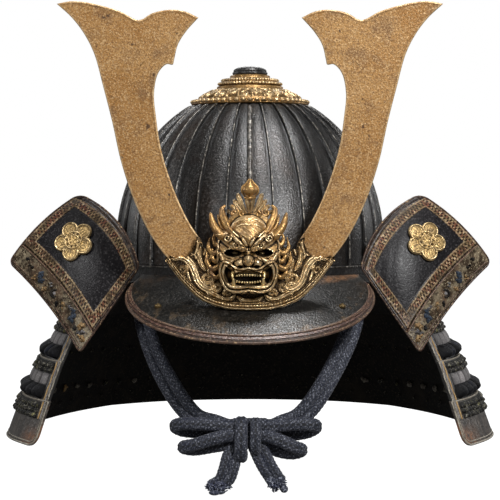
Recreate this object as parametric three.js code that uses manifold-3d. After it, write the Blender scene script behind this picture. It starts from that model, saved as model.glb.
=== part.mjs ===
// A samurai helmet (kabuto) with a ribbed bowl, crown fitting, brim, crest with forked horns and an ogre mask, turned-back
// side panels, a neck guard of four lames and a knotted chin cord. Millimetres, +Z up, the wearer faces -Y.
import * as THREE from "three";
import { mergeVertices } from "three/addons/utils/BufferGeometryUtils.js";
import Module from "manifold-3d";

const wasm = await Module();
wasm.setup();

const GAP = 0.3; // between neighbouring pieces
const DEG = Math.PI / 180;

// Bowl: an oval dome of ribbed plates, straight-sided up to shoulder
const BOWL = { halfWidth: 116, lengthen: 0.13, rim: 4, shoulder: 20, top: 154, wall: 2.5, crowd: 0.0325 };
const PLATE_COUNT = 32;
const RIB = { height: 2.4, foot: 2.2, end: 4, slope: 4.9 }; // a rib runs out between end and end + slope outside the crown's ring
const BAND = { top: BOWL.rim - GAP, bottom: -14, stand: 2.5, wall: 2.5 };
const SPINE = { radius: 2, stand: 2.6, start: 12.2 }; // start: outside the crown's ring

// Crown fitting: dome, collar and cap, turned about the bowl's axis and stacked on its top
const CROWN = { ringRadius: 50, beadRadius: 2, ringLift: 2.7, domeRise: 5, neckRadius: 28.5, collarTall: 9, capRadius: 15.6, capTall: 8.5 };

// Brim: reaches out and down from the band between the two end angles
const BRIM = { end: 50, reach: 54, drop: 42, wall: 2.5, top: -4, edgeRadius: 1.5, rivetAngle: 29.5, rivetShare: 0.68, rivetRadius: 4 };

// Crest: the base plate follows crestDepth; horns stand in a plane behind it.
// The crest's tables are drawn with its seat on the brim at height foot, and the whole crest is then put on that seat,
// which lies the share seat of the way out on the brim.
const CREST = { seat: 0.55, foot: -30.7, lean: 0.1, bend: 450, wall: 2.4 };
const HORN = { behind: 18.07, lean: -0.06, wall: 2.2 };
const MASK = { bottom: -17, top: 48 };
const PALMETTE = { foot: 40 + GAP, top: 73, halfWidth: 14, wall: 2.4 };
const LOBE_COUNT = 5;

// Turnbacks: corners of the left panel, mirrored for the right; x and y are shares of the bowl's half width
const TURN = { wall: 3, bulge: 9 };
const TURN_SHARES = { outer: [-1.7759, -0.4483, 5], tip: [-1.2155, -0.9052, -68], upper: [-1.25, -0.5345, 63], inner: [-0.8017, -0.7931, 2] };
const TURN_BOW = { outerUpper: 5, upperInner: 10, outerTip: -4 };
const FLOWER = { share: -1.2931, z: 25.5, radius: 17, wall: 2.4 };
const PETAL_COUNT = 5;

// Neck guard: radius of the guard's mean line at each height, how far the lame that starts there steps out over the one
// above, and the angle from the front at which its two ends stop, above and below
const GUARD = { wall: 2, lap: 5, lengthen: 15, cover: 4, clear: 0.8, drop: 135, flare: 92.7 };
// Shares of the guard's drop and flare
const STATIONS = [
  { down: 0, out: 0, step: 0, end: 51, lowerEnd: 57 },
  { down: 0.25185, out: 0.43905, step: 2.4, end: 60, lowerEnd: 60 },
  { down: 0.48889, out: 0.66559, step: 1.2, end: 58, lowerEnd: 58 },
  { down: 0.72593, out: 0.83819, step: 1, end: 56, lowerEnd: 56 },
  { down: 1, out: 1, step: 0 },
].map((s) => ({
  ...s,
  height: BAND.bottom + GUARD.cover - GUARD.drop * s.down,
  radius: BOWL.halfWidth + BAND.stand + GUARD.wall / 2 + GUARD.clear + GUARD.flare * s.out,
}));
const LACE = { tall: 5, deep: 4.6, swell: 1.8 };
const LOOP_COUNT = 20;

// Chin cord: two strands a side, tied in a bow in front of the chin
const CORD = { radius: 4.8, knotDepth: -113, knotHeight: -136 };

const vec = (x, y, z) => new THREE.Vector3(x, y, z);
const mix = (a, b, t) => a + (b - a) * t;
const sum = (list) => list.reduce((a, b) => a + b, 0);

// A closed geometry from corner points and triangles, turned to face outwards.
function closed(points, faces) {
  let volume = 0;
  for (const [a, b, c] of faces) volume += points[a].dot(points[b].clone().cross(points[c]));
  const g = new THREE.BufferGeometry();
  g.setAttribute("position", new THREE.Float32BufferAttribute(points.flatMap((p) => [p.x, p.y, p.z]), 3));
  g.setIndex(faces.flatMap(([a, b, c]) => (volume < 0 ? [a, c, b] : [a, b, c])));
  return g;
}

// A closed solid between two surfaces on one grid, u and v from 0 to 1; a wrapped grid joins u = 1 to u = 0.
function between(nu, nv, front, back, wrap = false) {
  const cols = wrap ? nu : nu + 1,
    points = [],
    faces = [];
  for (const side of [front, back])
    for (let i = 0; i < cols; i++) for (let j = 0; j <= nv; j++) points.push(side(i / nu, j / nv));
  const at = (k, i, j) => k * cols * (nv + 1) + (i % cols) * (nv + 1) + j;
  const quad = (a, b, c, d) => faces.push([a, b, c], [a, c, d]);
  for (let i = 0; i < nu; i++) {
    for (let j = 0; j < nv; j++) {
      quad(at(0, i, j), at(0, i + 1, j), at(0, i + 1, j + 1), at(0, i, j + 1));
      quad(at(1, i, j), at(1, i, j + 1), at(1, i + 1, j + 1), at(1, i + 1, j));
    }
    quad(at(0, i, 0), at(1, i, 0), at(1, i + 1, 0), at(0, i + 1, 0));
    quad(at(0, i, nv), at(0, i + 1, nv), at(1, i + 1, nv), at(1, i, nv));
  }
  if (!wrap)
    for (let j = 0; j < nv; j++) {
      quad(at(0, 0, j), at(0, 0, j + 1), at(1, 0, j + 1), at(1, 0, j));
      quad(at(0, nu, j), at(1, nu, j), at(1, nu, j + 1), at(0, nu, j + 1));
    }
  return closed(points, faces);
}

// A closed dome: rings of points from the rim up, an apex, and a flat base.
function dome(columns, rings, ringPoint, apex, base) {
  const points = [],
    faces = [];
  rings.forEach((r) => {
    for (let i = 0; i < columns; i++) points.push(ringPoint(i, r));
  });
  const last = rings.length - 1,
    top = points.push(apex) - 1,
    foot = points.push(base) - 1;
  for (let i = 0; i < columns; i++) {
    const n = (i + 1) % columns;
    for (let j = 0; j < last; j++) {
      const a = j * columns + i,
        b = j * columns + n;
      faces.push([a, b, b + columns], [a, b + columns, a + columns]);
    }
    faces.push([last * columns + i, last * columns + n, top], [n, i, foot]);
  }
  return closed(points, faces);
}

function solid(geometry) {
  const g = geometry.clone();
  g.deleteAttribute("normal");
  g.deleteAttribute("uv");
  const m = mergeVertices(g, 1e-3);
  return new wasm.Manifold(
    new wasm.Mesh({ numProp: 3, vertProperties: m.attributes.position.array, triVerts: new Uint32Array(m.index.array) }),
  );
}

function geometryOf(manifold) {
  const m = manifold.getMesh(),
    p = [];
  for (let i = 0; i < m.numVert; i++) p.push(...m.vertProperties.subarray(i * m.numProp, i * m.numProp + 3));
  return new THREE.BufferGeometry()
    .setAttribute("position", new THREE.Float32BufferAttribute(p, 3))
    .setIndex(new THREE.BufferAttribute(m.triVerts, 1));
}

const joined = (list) => geometryOf(list.map(solid).reduce((a, b) => a.add(b)));
const less = (a, b) => geometryOf(solid(a).subtract(solid(b)));

// A round bar along points, capped at both ends.
function tube(points, radius, steps, sides = 8) {
  const section = new THREE.Shape(
    Array.from({ length: sides }, (_, i) => new THREE.Vector2(radius * Math.cos((2 * Math.PI * i) / sides), radius * Math.sin((2 * Math.PI * i) / sides))),
  );
  return new THREE.ExtrudeGeometry(section, { steps, extrudePath: new THREE.CatmullRomCurve3(points), curveSegments: sides, bevelEnabled: false });
}

const mirrored = (geometry) => {
  const g = geometry.index ? geometry.toNonIndexed() : geometry.clone();
  const p = g.attributes.position;
  for (let i = 0; i < p.count; i += 3) {
    const a = [p.getX(i + 1), p.getY(i + 1), p.getZ(i + 1)];
    p.setXYZ(i + 1, p.getX(i + 2), p.getY(i + 2), p.getZ(i + 2));
    p.setXYZ(i + 2, ...a);
  }
  g.deleteAttribute("normal");
  g.deleteAttribute("uv");
  return mergeVertices(g.scale(-1, 1, 1), 1e-4);
};

// ---- bowl ----
// A point on the bowl: angle from the front towards +X, lift from 0 at the shoulder to 1 at the apex (negative below it),
// and the distance off the surface.
function bowlPoint(angle, lift, off = 0) {
  const rise = BOWL.top - BOWL.shoulder,
    phi = Math.max(0, lift) * 90 * DEG,
    share = Math.cos(phi);
  const rx = BOWL.halfWidth * share,
    ry = rx * (1 + BOWL.lengthen * share ** 3),
    z = lift < 0 ? mix(BOWL.shoulder, BOWL.rim, -lift) : BOWL.shoulder + rise * Math.sin(phi);
  const n = vec(Math.sin(angle) * share * rise, -Math.cos(angle) * share * rise * 0.9, Math.sin(phi) * BOWL.halfWidth).normalize();
  return vec(rx * Math.sin(angle), -ry * Math.cos(angle), z).addScaledVector(n, off);
}
const plateAngle = (k) => {
  const t = (2 * Math.PI * k) / PLATE_COUNT;
  return t + BOWL.crowd * Math.sin(2 * t);
};
// The lift at which the bowl is r wide, its height there, and the rings of the bowl
const liftAt = (r) => Math.acos(r / BOWL.halfWidth) / (90 * DEG);
const heightAt = (r) => BOWL.shoulder + (BOWL.top - BOWL.shoulder) * Math.sqrt(1 - (r / BOWL.halfWidth) ** 2);
const RIB_END = CROWN.ringRadius + RIB.end;
const LIFTS = [-1, 0, 0.2, 0.4, 0.56, liftAt(RIB_END + RIB.slope * 0.4), liftAt(RIB_END - RIB.slope * 0.6), 0.87];

function bowl() {
  // three columns a rib: foot, peak, foot; the rib in the middle front gives way to the spine
  const outer = dome(
    PLATE_COUNT * 3,
    LIFTS,
    (i, lift) => {
      const k = Math.round(i / 3),
        part = i - 3 * k,
        share = Math.cos(Math.max(0, lift) * 90 * DEG);
      const spread = (RIB.foot * part) / (BOWL.halfWidth * Math.max(share, 0.3));
      const proud = part === 0 && k % PLATE_COUNT !== 0 && share * BOWL.halfWidth > RIB_END ? RIB.height : 0;
      return bowlPoint(plateAngle(k) + spread, lift, proud);
    },
    vec(0, 0, BOWL.top),
    vec(0, 0, BOWL.rim),
  );
  const inner = dome(
    PLATE_COUNT,
    [-1.3, 0, 0.28, 0.52, 0.76],
    (i, lift) => bowlPoint(plateAngle(i), lift, -BOWL.wall),
    vec(0, 0, BOWL.top - BOWL.wall),
    vec(0, 0, BOWL.rim - 5),
  );
  return less(outer, inner);
}

// The oval at a stand-off from the bowl's straight side.
const ovalPoint = (angle, stand, z) =>
  vec((BOWL.halfWidth + stand) * Math.sin(angle), -(BOWL.halfWidth * (1 + BOWL.lengthen) + stand) * Math.cos(angle), z);

function band() {
  const side = (stand) => (u, v) => ovalPoint(2 * Math.PI * u, stand, mix(BAND.bottom, BAND.top, v));
  return between(44, 1, side(BAND.stand), side(BAND.stand - BAND.wall), true);
}

function spine() {
  const points = [];
  for (let i = 0; i <= 8; i++) points.push(bowlPoint(0, mix(liftAt(CROWN.ringRadius + SPINE.start), 0.2, i / 8), SPINE.stand));
  return tube(points, SPINE.radius, 8, 6);
}

// ---- crown ----
const turned = (profile, segments) => {
  const g = new THREE.LatheGeometry([...profile, profile[0]].map(([r, z]) => new THREE.Vector2(r, z)), segments);
  return g.rotateX(Math.PI / 2);
};

const DOME_TOP = BOWL.top + CROWN.domeRise,
  COLLAR_TOP = DOME_TOP + CROWN.collarTall;
function crownBase() {
  const c = CROWN,
    hollow = 8,
    seat = heightAt(c.ringRadius) + c.ringLift;
  const over = (r, clear) => [r, heightAt(r) + clear];
  return turned(
    [
      [hollow, DOME_TOP],
      [hollow, DOME_TOP - 3],
      over(c.neckRadius - 0.5, 2.16),
      over(c.ringRadius - 6, 0.45),
      over(c.ringRadius + 0.6, 0.82),
      [c.ringRadius + c.beadRadius, seat - 0.6],
      [c.ringRadius - 1, seat + 2],
      [c.ringRadius - 7, seat + 6],
      [c.neckRadius + 2, DOME_TOP - 2.8],
      [c.neckRadius, DOME_TOP],
    ],
    24,
  );
}

function crownCollar() {
  const c = CROWN,
    z = DOME_TOP + GAP;
  return turned(
    [
      [8, z],
      [c.neckRadius + 0.4, z],
      [c.neckRadius + 0.4, z + 2.2],
      [c.neckRadius - 3, z + 3],
      [c.neckRadius - 3, z + 5.4],
      [c.capRadius + 3, z + 6],
      [c.capRadius + 2, COLLAR_TOP],
      [8, COLLAR_TOP],
    ],
    24,
  );
}

function crownCap() {
  const c = CROWN,
    z = COLLAR_TOP + GAP,
    r = c.capRadius;
  return dome(
    20,
    [[r - 1.5, 0], [r, 1.6], [r - 0.4, 4.4], [r * 0.8, 6.6], [r * 0.45, 7.8]],
    (i, [radius, up]) => vec(radius * Math.sin((2 * Math.PI * i) / 20), -radius * Math.cos((2 * Math.PI * i) / 20), z + up),
    vec(0, 0, COLLAR_TOP + c.capTall),
    vec(0, 0, z),
  );
}

// ---- brim ----
// across from 0 at one end to 1 at the other, out from 0 at the band to 1 at the edge
function brimPoint(across, out, below = 0) {
  const t = 2 * across - 1,
    angle = t * BRIM.end * DEG,
    rest = Math.max(0, 1 - t * t);
  const root = ovalPoint(angle, BAND.stand + GAP, BRIM.top);
  const reach = (BRIM.reach * rest ** 0.6 * (1.12 - 0.12 * out) + 4) * out,
    drop = (BRIM.drop * rest ** 0.8 * (1.04 - 0.04 * out) + 5) * out;
  return root.add(vec(Math.sin(angle) * (reach - 0.6 * below * out), -Math.cos(angle) * (reach - 0.6 * below * out), -drop - 0.8 * below));
}
const brim = () => between(20, 4, (u, v) => brimPoint(u, v), (u, v) => brimPoint(u, v, BRIM.wall));

function brimEdge() {
  const points = [];
  for (let i = 0; i <= 24; i++) {
    const u = mix(0.01, 0.99, i / 24),
      p = brimPoint(u, 1, BRIM.wall / 2),
      outward = brimPoint(u, 1).sub(brimPoint(u, 0.9)).normalize();
    points.push(p.addScaledVector(outward, BRIM.edgeRadius + BRIM.wall / 2 + GAP));
  }
  return tube(points, BRIM.edgeRadius, 24, 6);
}

// A low round boss standing on a surface point along its normal.
function boss(point, normal, radius, height, sides = 12) {
  const turn = new THREE.Quaternion().setFromUnitVectors(vec(0, 0, 1), normal);
  const ring = (i, [r, up]) => vec(r * Math.cos((2 * Math.PI * i) / sides), r * Math.sin((2 * Math.PI * i) / sides), up).applyQuaternion(turn).add(point);
  return dome(sides, [[radius, 0], [radius * 0.85, height * 0.55], [radius * 0.45, height * 0.9]], ring, vec(0, 0, height).applyQuaternion(turn).add(point), point.clone());
}

function normalOf(surface, u, v) {
  const d = 0.01,
    a = surface(u + d, v).sub(surface(u - d, v)),
    b = surface(u, v + d).sub(surface(u, v - d));
  return a.cross(b).normalize();
}

function brimRivet() {
  const u = (1 + BRIM.rivetAngle / BRIM.end) / 2,
    n = normalOf(brimPoint, u, BRIM.rivetShare);
  if (n.z < 0) n.negate();
  return boss(brimPoint(u, BRIM.rivetShare).addScaledVector(n, GAP), n, BRIM.rivetRadius, 1.8);
}

// The surface parameters whose point is nearest the target along two of its axes.
function findOn(surface, target, axes) {
  let best = [0.5, 0.5],
    span = 0.5;
  for (let round = 0; round < 9; round++, span *= 0.5) {
    const [u0, v0] = best;
    let least = Infinity;
    for (let i = -2; i <= 2; i++)
      for (let j = -2; j <= 2; j++) {
        const u = Math.min(1, Math.max(0, u0 + (i * span) / 2)),
          v = Math.min(1, Math.max(0, v0 + (j * span) / 2)),
          p = surface(u, v);
        const d = sum(axes.map((axis) => (p[axis] - target[axis]) ** 2));
        if (d < least) [least, best] = [d, [u, v]];
      }
  }
  return best;
}

// ---- crest ----
const SEAT_POINT = brimPoint(0.5, CREST.seat);
const crestDepth = (x, z) => CREST.lean * (z - CREST.foot) + (x * x) / CREST.bend;
const onSeat = (geometry) => geometry.translate(0, SEAT_POINT.y, SEAT_POINT.z - CREST.foot);
const along = (table, at, key) => {
  const x = Math.abs(at);
  for (let i = 1; i < table.length; i++)
    if (x <= table[i].x) return mix(table[i - 1][key], table[i][key], (x - table[i - 1].x) / (table[i].x - table[i - 1].x));
  return table[table.length - 1][key];
};
// Upper and lower edge of the crest base across half its span
const CREST_EDGE = [
  { x: 0, upper: 40, lower: -29.5 },
  { x: 13, upper: 40, lower: -29 },
  { x: 20, upper: 34, lower: -28 },
  { x: 27, upper: 20, lower: -26.2 },
  { x: 36, upper: 18, lower: -22.6 },
  { x: 42, upper: 28, lower: -18.5 },
  { x: 45, upper: 17.5, lower: -15.6 },
  { x: 50, upper: 13, lower: -10.6 },
  { x: 56, upper: 11.6, lower: -4 },
  { x: 66, upper: 11.2, lower: 9 },
];

function crestBase() {
  const xs = [...CREST_EDGE.slice(1).map((e) => -e.x).reverse(), ...CREST_EDGE.map((e) => e.x)];
  const face = (off) => (u, v) => {
    const x = xs[Math.round(u * (xs.length - 1))];
    const lower = Math.max(along(CREST_EDGE, x, "lower"), brimHeight(x)),
      upper = Math.max(along(CREST_EDGE, x, "upper"), lower + 2);
    const z = mix(lower, upper, v);
    return vec(x, crestDepth(x, z) + off, z);
  };
  const plate = between(xs.length - 1, 3, face(-CREST.wall / 2), face(CREST.wall / 2));
  const scrolls = [-1, 1].flatMap((side) => [
    scroll(side, 48, 3, 7, 1, 0.6),
    scroll(side, 35, -8, 6, 1, 2.6),
    socket(side),
  ]);
  const rim = tube(
    CREST_EDGE.slice(0, 9).reverse().map((e) => [-e.x, e]).concat(CREST_EDGE.slice(1, 9).map((e) => [e.x, e])).map(([x, e]) => {
      const z = Math.max(e.lower, brimHeight(x)) + 1.9;
      return vec(x, crestDepth(x, z) - CREST.wall / 2 - 0.4, z);
    }),
    1.5,
    14,
    4,
  );
  return joined([plate, rim, ...scrolls]);
}

// The block behind the crest base that a horn's root stands against.
function socket(side) {
  const at = (u, v) => [side * mix(42, 58, u), mix(-4, 9, v)];
  return between(
    2,
    1,
    (u, v) => {
      const [x, z] = at(u, v);
      return vec(x, crestDepth(x, z), z);
    },
    (u, v) => {
      const [x, z] = at(u, v);
      return vec(x, Math.max(hornDepth(z) - HORN.wall - GAP, crestDepth(x, z) + CREST.wall / 2 + 0.2), z);
    },
  );
}

// A raised spiral on the crest base.
function scroll(side, x, z, radius, turns, start) {
  const points = [];
  for (let i = 0; i <= 10; i++) {
    const t = i / 10,
      r = radius * (1 - 0.78 * t),
      a = start + t * turns * 2 * Math.PI,
      px = side * (x + r * Math.cos(a)),
      pz = z + r * Math.sin(a);
    points.push(vec(px, crestDepth(px, pz) - CREST.wall / 2 - 0.5, pz));
  }
  return tube(points, 1.4, 9, 4);
}

// Height of the brim's upper face under the crest base, in the crest's own drawing.
function brimHeight(x) {
  const z = CREST.foot + 6,
    [u, v] = findOn(brimPoint, vec(x, SEAT_POINT.y + crestDepth(x, z) + CREST.wall / 2, 0), ["x", "y"]);
  return brimPoint(u, v).z - SEAT_POINT.z + CREST.foot;
}

// Half width of the mask at each height, and the swellings of its face
const MASK_WIDTH = [
  { at: 0, half: 10 },
  { at: 0.12, half: 19 },
  { at: 0.3, half: 24 },
  { at: 0.5, half: 27 },
  { at: 0.68, half: 25 },
  { at: 0.82, half: 18 },
  { at: 0.93, half: 13 },
  { at: 1, half: 7 },
];
const MASK_SWELL = [
  { x: 0, z: 36, wide: 11, tall: 10, proud: 9 },
  { x: 8.5, z: 24, wide: 7, tall: 2.6, proud: 7 },
  { x: 17, z: 28, wide: 6, tall: 4, proud: 4 },
  { x: 11.5, z: 16.5, wide: 4.6, tall: 3.2, proud: 5 },
  { x: 0, z: 12, wide: 4.2, tall: 8, proud: 9 },
  { x: 6.5, z: 6, wide: 4, tall: 3.4, proud: 6 },
  { x: 16.5, z: 6, wide: 6, tall: 6.5, proud: 5 },
  { x: 0, z: -13, wide: 14, tall: 3, proud: 6 },
  { x: 17, z: -5, wide: 3, tall: 8, proud: 5 },
  { x: 0, z: -4.5, wide: 13, tall: 3.6, proud: -6 },
  { x: 23, z: 20, wide: 4, tall: 12, proud: 2 },
];
function maskProud(x, z) {
  const a = Math.abs(x),
    oval = Math.max(0, 1 - (x / 30) ** 2 - ((z - 14) / 38) ** 2);
  return Math.max(1.5, 3 + 9 * Math.sqrt(oval) + sum(MASK_SWELL.map((s) => s.proud * Math.exp(-(((a - s.x) / s.wide) ** 2) - ((z - s.z) / s.tall) ** 2))));
}
function crestMask() {
  const at = (u, v) => {
    const z = mix(MASK.bottom, MASK.top, v);
    let half = MASK_WIDTH[0].half;
    for (let i = 1; i < MASK_WIDTH.length; i++)
      if (v >= MASK_WIDTH[i - 1].at) half = mix(MASK_WIDTH[i - 1].half, MASK_WIDTH[i].half, (v - MASK_WIDTH[i - 1].at) / (MASK_WIDTH[i].at - MASK_WIDTH[i - 1].at));
    return [half * (2 * u - 1), z];
  };
  const back = (x, z) => crestDepth(x, z) - CREST.wall / 2 - GAP - 0.15;
  const face = between(
    12,
    12,
    (u, v) => {
      const [x, z] = at(u, v),
        edge = u === 0 || u === 1 || v === 0 || v === 1;
      return vec(x, back(x, z) - (edge ? 1.5 : maskProud(x, z)), z);
    },
    (u, v) => {
      const [x, z] = at(u, v);
      return vec(x, back(x, z), z);
    },
  );
  const horns = [-1, 1].map((side) => cone(vec(side * 17, back(17, 34) - 7, 30), vec(side * 31.5, back(31, 48) - 8, 47), 4));
  const fangs = [-1, 1].flatMap((side) => [
    cone(vec(side * 13, back(13, -1) - 9, 0.5), vec(side * 13.5, back(13, -6) - 12, -6), 1.8),
    cone(vec(side * 12, back(12, -10) - 9, -12), vec(side * 12.5, back(12, -5) - 12, -5), 1.8),
  ]);
  return joined([face, ...horns, ...fangs]);
}

// A pointed cone from a base centre to its tip.
function cone(base, tip, radius, sides = 6) {
  const axis = tip.clone().sub(base),
    turn = new THREE.Quaternion().setFromUnitVectors(vec(0, 0, 1), axis.clone().normalize());
  return dome(sides, [[radius, 0], [radius * 0.62, 0.5]], (i, [r, t]) => vec(r * Math.cos((2 * Math.PI * i) / sides), r * Math.sin((2 * Math.PI * i) / sides), 0).applyQuaternion(turn).add(base).addScaledVector(axis, t), tip, base.clone());
}

function palmette() {
  const p = PALMETTE,
    columns = LOBE_COUNT * 4;
  const outline = (t) => {
    const a = Math.PI * (1 - t),
      lobe = 1 - 0.16 * Math.abs(Math.cos((LOBE_COUNT * a) % (2 * Math.PI))),
      up = (p.top - p.foot - 8) * Math.sin(a) * lobe + 8 * Math.max(0, 1 - Math.abs(t - 0.5) * 9);
    return [p.halfWidth * Math.cos(a) * lobe, p.foot + 2 + up];
  };
  const face = (off) => (u, v) => {
    const [ox, oz] = outline(u),
      x = mix(4 * (2 * u - 1), ox, v),
      z = mix(p.foot, oz, v);
    return vec(x, crestDepth(x, z) + off * (1 + 0.8 * Math.min(1, Math.max(0, (z - MASK.top - 2) / 8)) * Math.sin(Math.PI * v)), z);
  };
  return between(columns, 2, face(-p.wall / 2), face(p.wall / 2));
}

// ---- horns ----
// The right horn's outline in its own plane: root, outer edge up to the outer tip, over the two tines, and back down inside
const HORN_OUTER = [
  { x: 55, z: 3 }, { x: 65, z: 10 }, { x: 78, z: 27 }, { x: 92, z: 55 }, { x: 103, z: 88 }, { x: 110, z: 120 },
  { x: 117, z: 148 }, { x: 124, z: 174 }, { x: 132, z: 190 }, { x: 142, z: 203 }, { x: 153.5, z: 213.5 },
];
const HORN_TOP = [
  { x: 142, z: 215.5 }, { x: 129, z: 214.5 }, { x: 116, z: 211.5 }, { x: 103, z: 207.5 }, { x: 88, z: 200.5 },
  { x: 78, z: 206 }, { x: 64, z: 208.8 }, { x: 52, z: 207.6 }, { x: 41, z: 202.6 },
];
const HORN_INNER = [
  { x: 51, z: 191.5 }, { x: 57.5, z: 181 }, { x: 60.5, z: 169 }, { x: 61.5, z: 165.5 }, { x: 66.5, z: 165.8 }, { x: 73, z: 159 },
  { x: 76.5, z: 143 }, { x: 75, z: 124 }, { x: 71, z: 98 }, { x: 61, z: 66 }, { x: 49, z: 40 }, { x: 38, z: 22 }, { x: 37, z: 10 },
];
const hornDepth = (z) => HORN.behind + HORN.lean * (z - 10);
function horn() {
  const outline = [HORN_OUTER, HORN_TOP, HORN_INNER].flatMap((run) => {
    const curve = new THREE.SplineCurve(run.map((p) => new THREE.Vector2(p.x, p.z)));
    return Array.from({ length: run.length * 2 - 1 }, (_, i) => curve.getPoint(i / (run.length * 2 - 2)));
  });
  const g = new THREE.ExtrudeGeometry(new THREE.Shape(outline), { depth: HORN.wall, bevelEnabled: false, steps: 1 });
  // the drawing plane stands up: its y becomes z, its depth runs to the rear
  const p = g.attributes.position;
  for (let i = 0; i < p.count; i++) p.setXYZ(i, p.getX(i), hornDepth(p.getY(i)) - p.getZ(i), p.getY(i));
  return g;
}

// ---- turnbacks ----
function turnPoint(u, v, off = 0) {
  const bowed = (from, to, t, bow) => {
    const a = corner(from),
      b = corner(to),
      p = a.clone().lerp(b, t),
      dx = b.x - a.x,
      dz = b.z - a.z,
      length = Math.hypot(dx, dz),
      out = 4 * t * (1 - t) * bow;
    return p.add(vec((-dz / length) * out, 0, (dx / length) * out));
  };
  const T = TURN_SHARES,
    corner = ([x, y, z]) => vec(x * BOWL.halfWidth, y * BOWL.halfWidth, z);
  const low = bowed(T.outer, T.tip, u, TURN_BOW.outerTip * -1),
    high = bowed(T.upper, T.inner, u, TURN_BOW.upperInner),
    left = bowed(T.outer, T.upper, v, TURN_BOW.outerUpper),
    right = bowed(T.tip, T.inner, v, 0);
  const p = low.multiplyScalar(1 - v).addScaledVector(high, v).addScaledVector(left, 1 - u).addScaledVector(right, u);
  p.addScaledVector(corner(T.outer), -(1 - u) * (1 - v)).addScaledVector(corner(T.tip), -u * (1 - v));
  p.addScaledVector(corner(T.upper), -(1 - u) * v).addScaledVector(corner(T.inner), -u * v);
  p.y -= TURN.bulge * 16 * u * (1 - u) * v * (1 - v) + off;
  return p;
}
const turnback = () => between(7, 7, (u, v) => turnPoint(u, v, TURN.wall / 2), (u, v) => turnPoint(u, v, -TURN.wall / 2));

function flower() {
  const f = FLOWER,
    [u, v] = findOn(turnPoint, vec(f.share * BOWL.halfWidth, 0, f.z), ["x", "z"]),
    n = normalOf(turnPoint, u, v);
  if (n.y > 0) n.negate();
  const centre = turnPoint(u, v, TURN.wall / 2).addScaledVector(n, GAP + 0.6),
    turn = new THREE.Quaternion().setFromUnitVectors(vec(0, 0, 1), n);
  const petalAt = (i) => Math.abs(Math.cos((PETAL_COUNT * (2 * Math.PI * i - Math.PI / 2)) / 2));
  const petalReach = (i) => 0.72 + 0.28 * petalAt(i) ** 0.6;
  const face = (i, j) => {
    const a = 2 * Math.PI * i,
      petal = petalAt(i),
      r = f.radius * j * (j < 0.25 ? 1 : petalReach(i)),
      lift = f.wall * (0.5 + 0.5 * Math.sin(Math.PI * Math.min(1, 0.25 + j * 0.6)) * petal);
    return vec(r * Math.cos(a), r * Math.sin(a), lift).applyQuaternion(turn).add(centre);
  };
  const under = (i) => vec(f.radius * petalReach(i) * Math.cos(2 * Math.PI * i), f.radius * petalReach(i) * Math.sin(2 * Math.PI * i), 0).applyQuaternion(turn).add(centre);
  return dome(
    25,
    [1, 0.62, 0.3, 0.2],
    (i, j) => (j === 1 ? under(i / 25) : face(i / 25, j)),
    vec(0, 0, f.wall + 1.6).applyQuaternion(turn).add(centre),
    centre.clone(),
  );
}

// ---- neck guard ----
// Sheet point at a share down lame k, at an angle share along it, off the sheet's middle.
function lamePoint(k, along_, down, off = 0) {
  const a = STATIONS[k],
    b = STATIONS[k + 1],
    lap = k < STATIONS.length - 2 ? GUARD.lap : 0;
  const height = mix(a.height, b.height - lap, down),
    radius = mix(a.radius + a.step, b.radius, down) + off,
    end = mix(a.end, a.lowerEnd, down) * DEG,
    angle = mix(end, 2 * Math.PI - end, along_),
    w = (STATIONS[0].height - height) / (STATIONS[0].height - STATIONS[STATIONS.length - 1].height);
  return vec(radius * Math.sin(angle), -(radius + GUARD.lengthen * (1 - w)) * Math.cos(angle), height);
}
// The top lame bends forward at each end to meet the back of its turnback.
function topLame() {
  const columns = 30,
    at = (off) => (u, v) => {
      const i = Math.round(u * columns);
      if (i > 0 && i < columns) return lamePoint(0, (i - 1) / (columns - 2), v, off);
      const height = mix(BAND.bottom - 1, STATIONS[1].height - GUARD.lap, v),
        share = (height - TURN_SHARES.tip[2]) / (TURN_SHARES.inner[2] - TURN_SHARES.tip[2]),
        p = turnPoint(off > 0 ? 0.955 : 0.98, share, -TURN.wall / 2 - GAP - 0.1);
      return i === 0 ? vec(-p.x, p.y, p.z) : p;
    };
  return between(columns, 1, at(GUARD.wall / 2), at(-GUARD.wall / 2));
}
const lame = (k) => between(28, 1, (u, v) => lamePoint(k, u, v, GUARD.wall / 2), (u, v) => lamePoint(k, u, v, -GUARD.wall / 2));

// A row of loops on the outside of lame k, just above the top edge of lame k + 1.
function laceRow(k) {
  const a = STATIONS[k],
    b = STATIONS[k + 1],
    foot = b.height + GAP,
    columns = LOOP_COUNT * 2;
  const at = (u, v, outer) => {
    const loop = Math.abs(Math.sin(Math.PI * LOOP_COUNT * u)),
      height = foot + v * (LACE.tall - (LACE.tall * 0.3) * (1 - loop)),
      down = (a.height - height) / (a.height - b.height + GUARD.lap);
    const off = GUARD.wall / 2 + GAP + 0.1 + (outer ? LACE.deep - 1 + LACE.swell * loop * (1 - 0.5 * v) : 0);
    return lamePoint(k, mix(0.012, 0.988, u), down, off);
  };
  return between(columns, 1, (u, v) => at(u, v, true), (u, v) => at(u, v, false));
}

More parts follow.
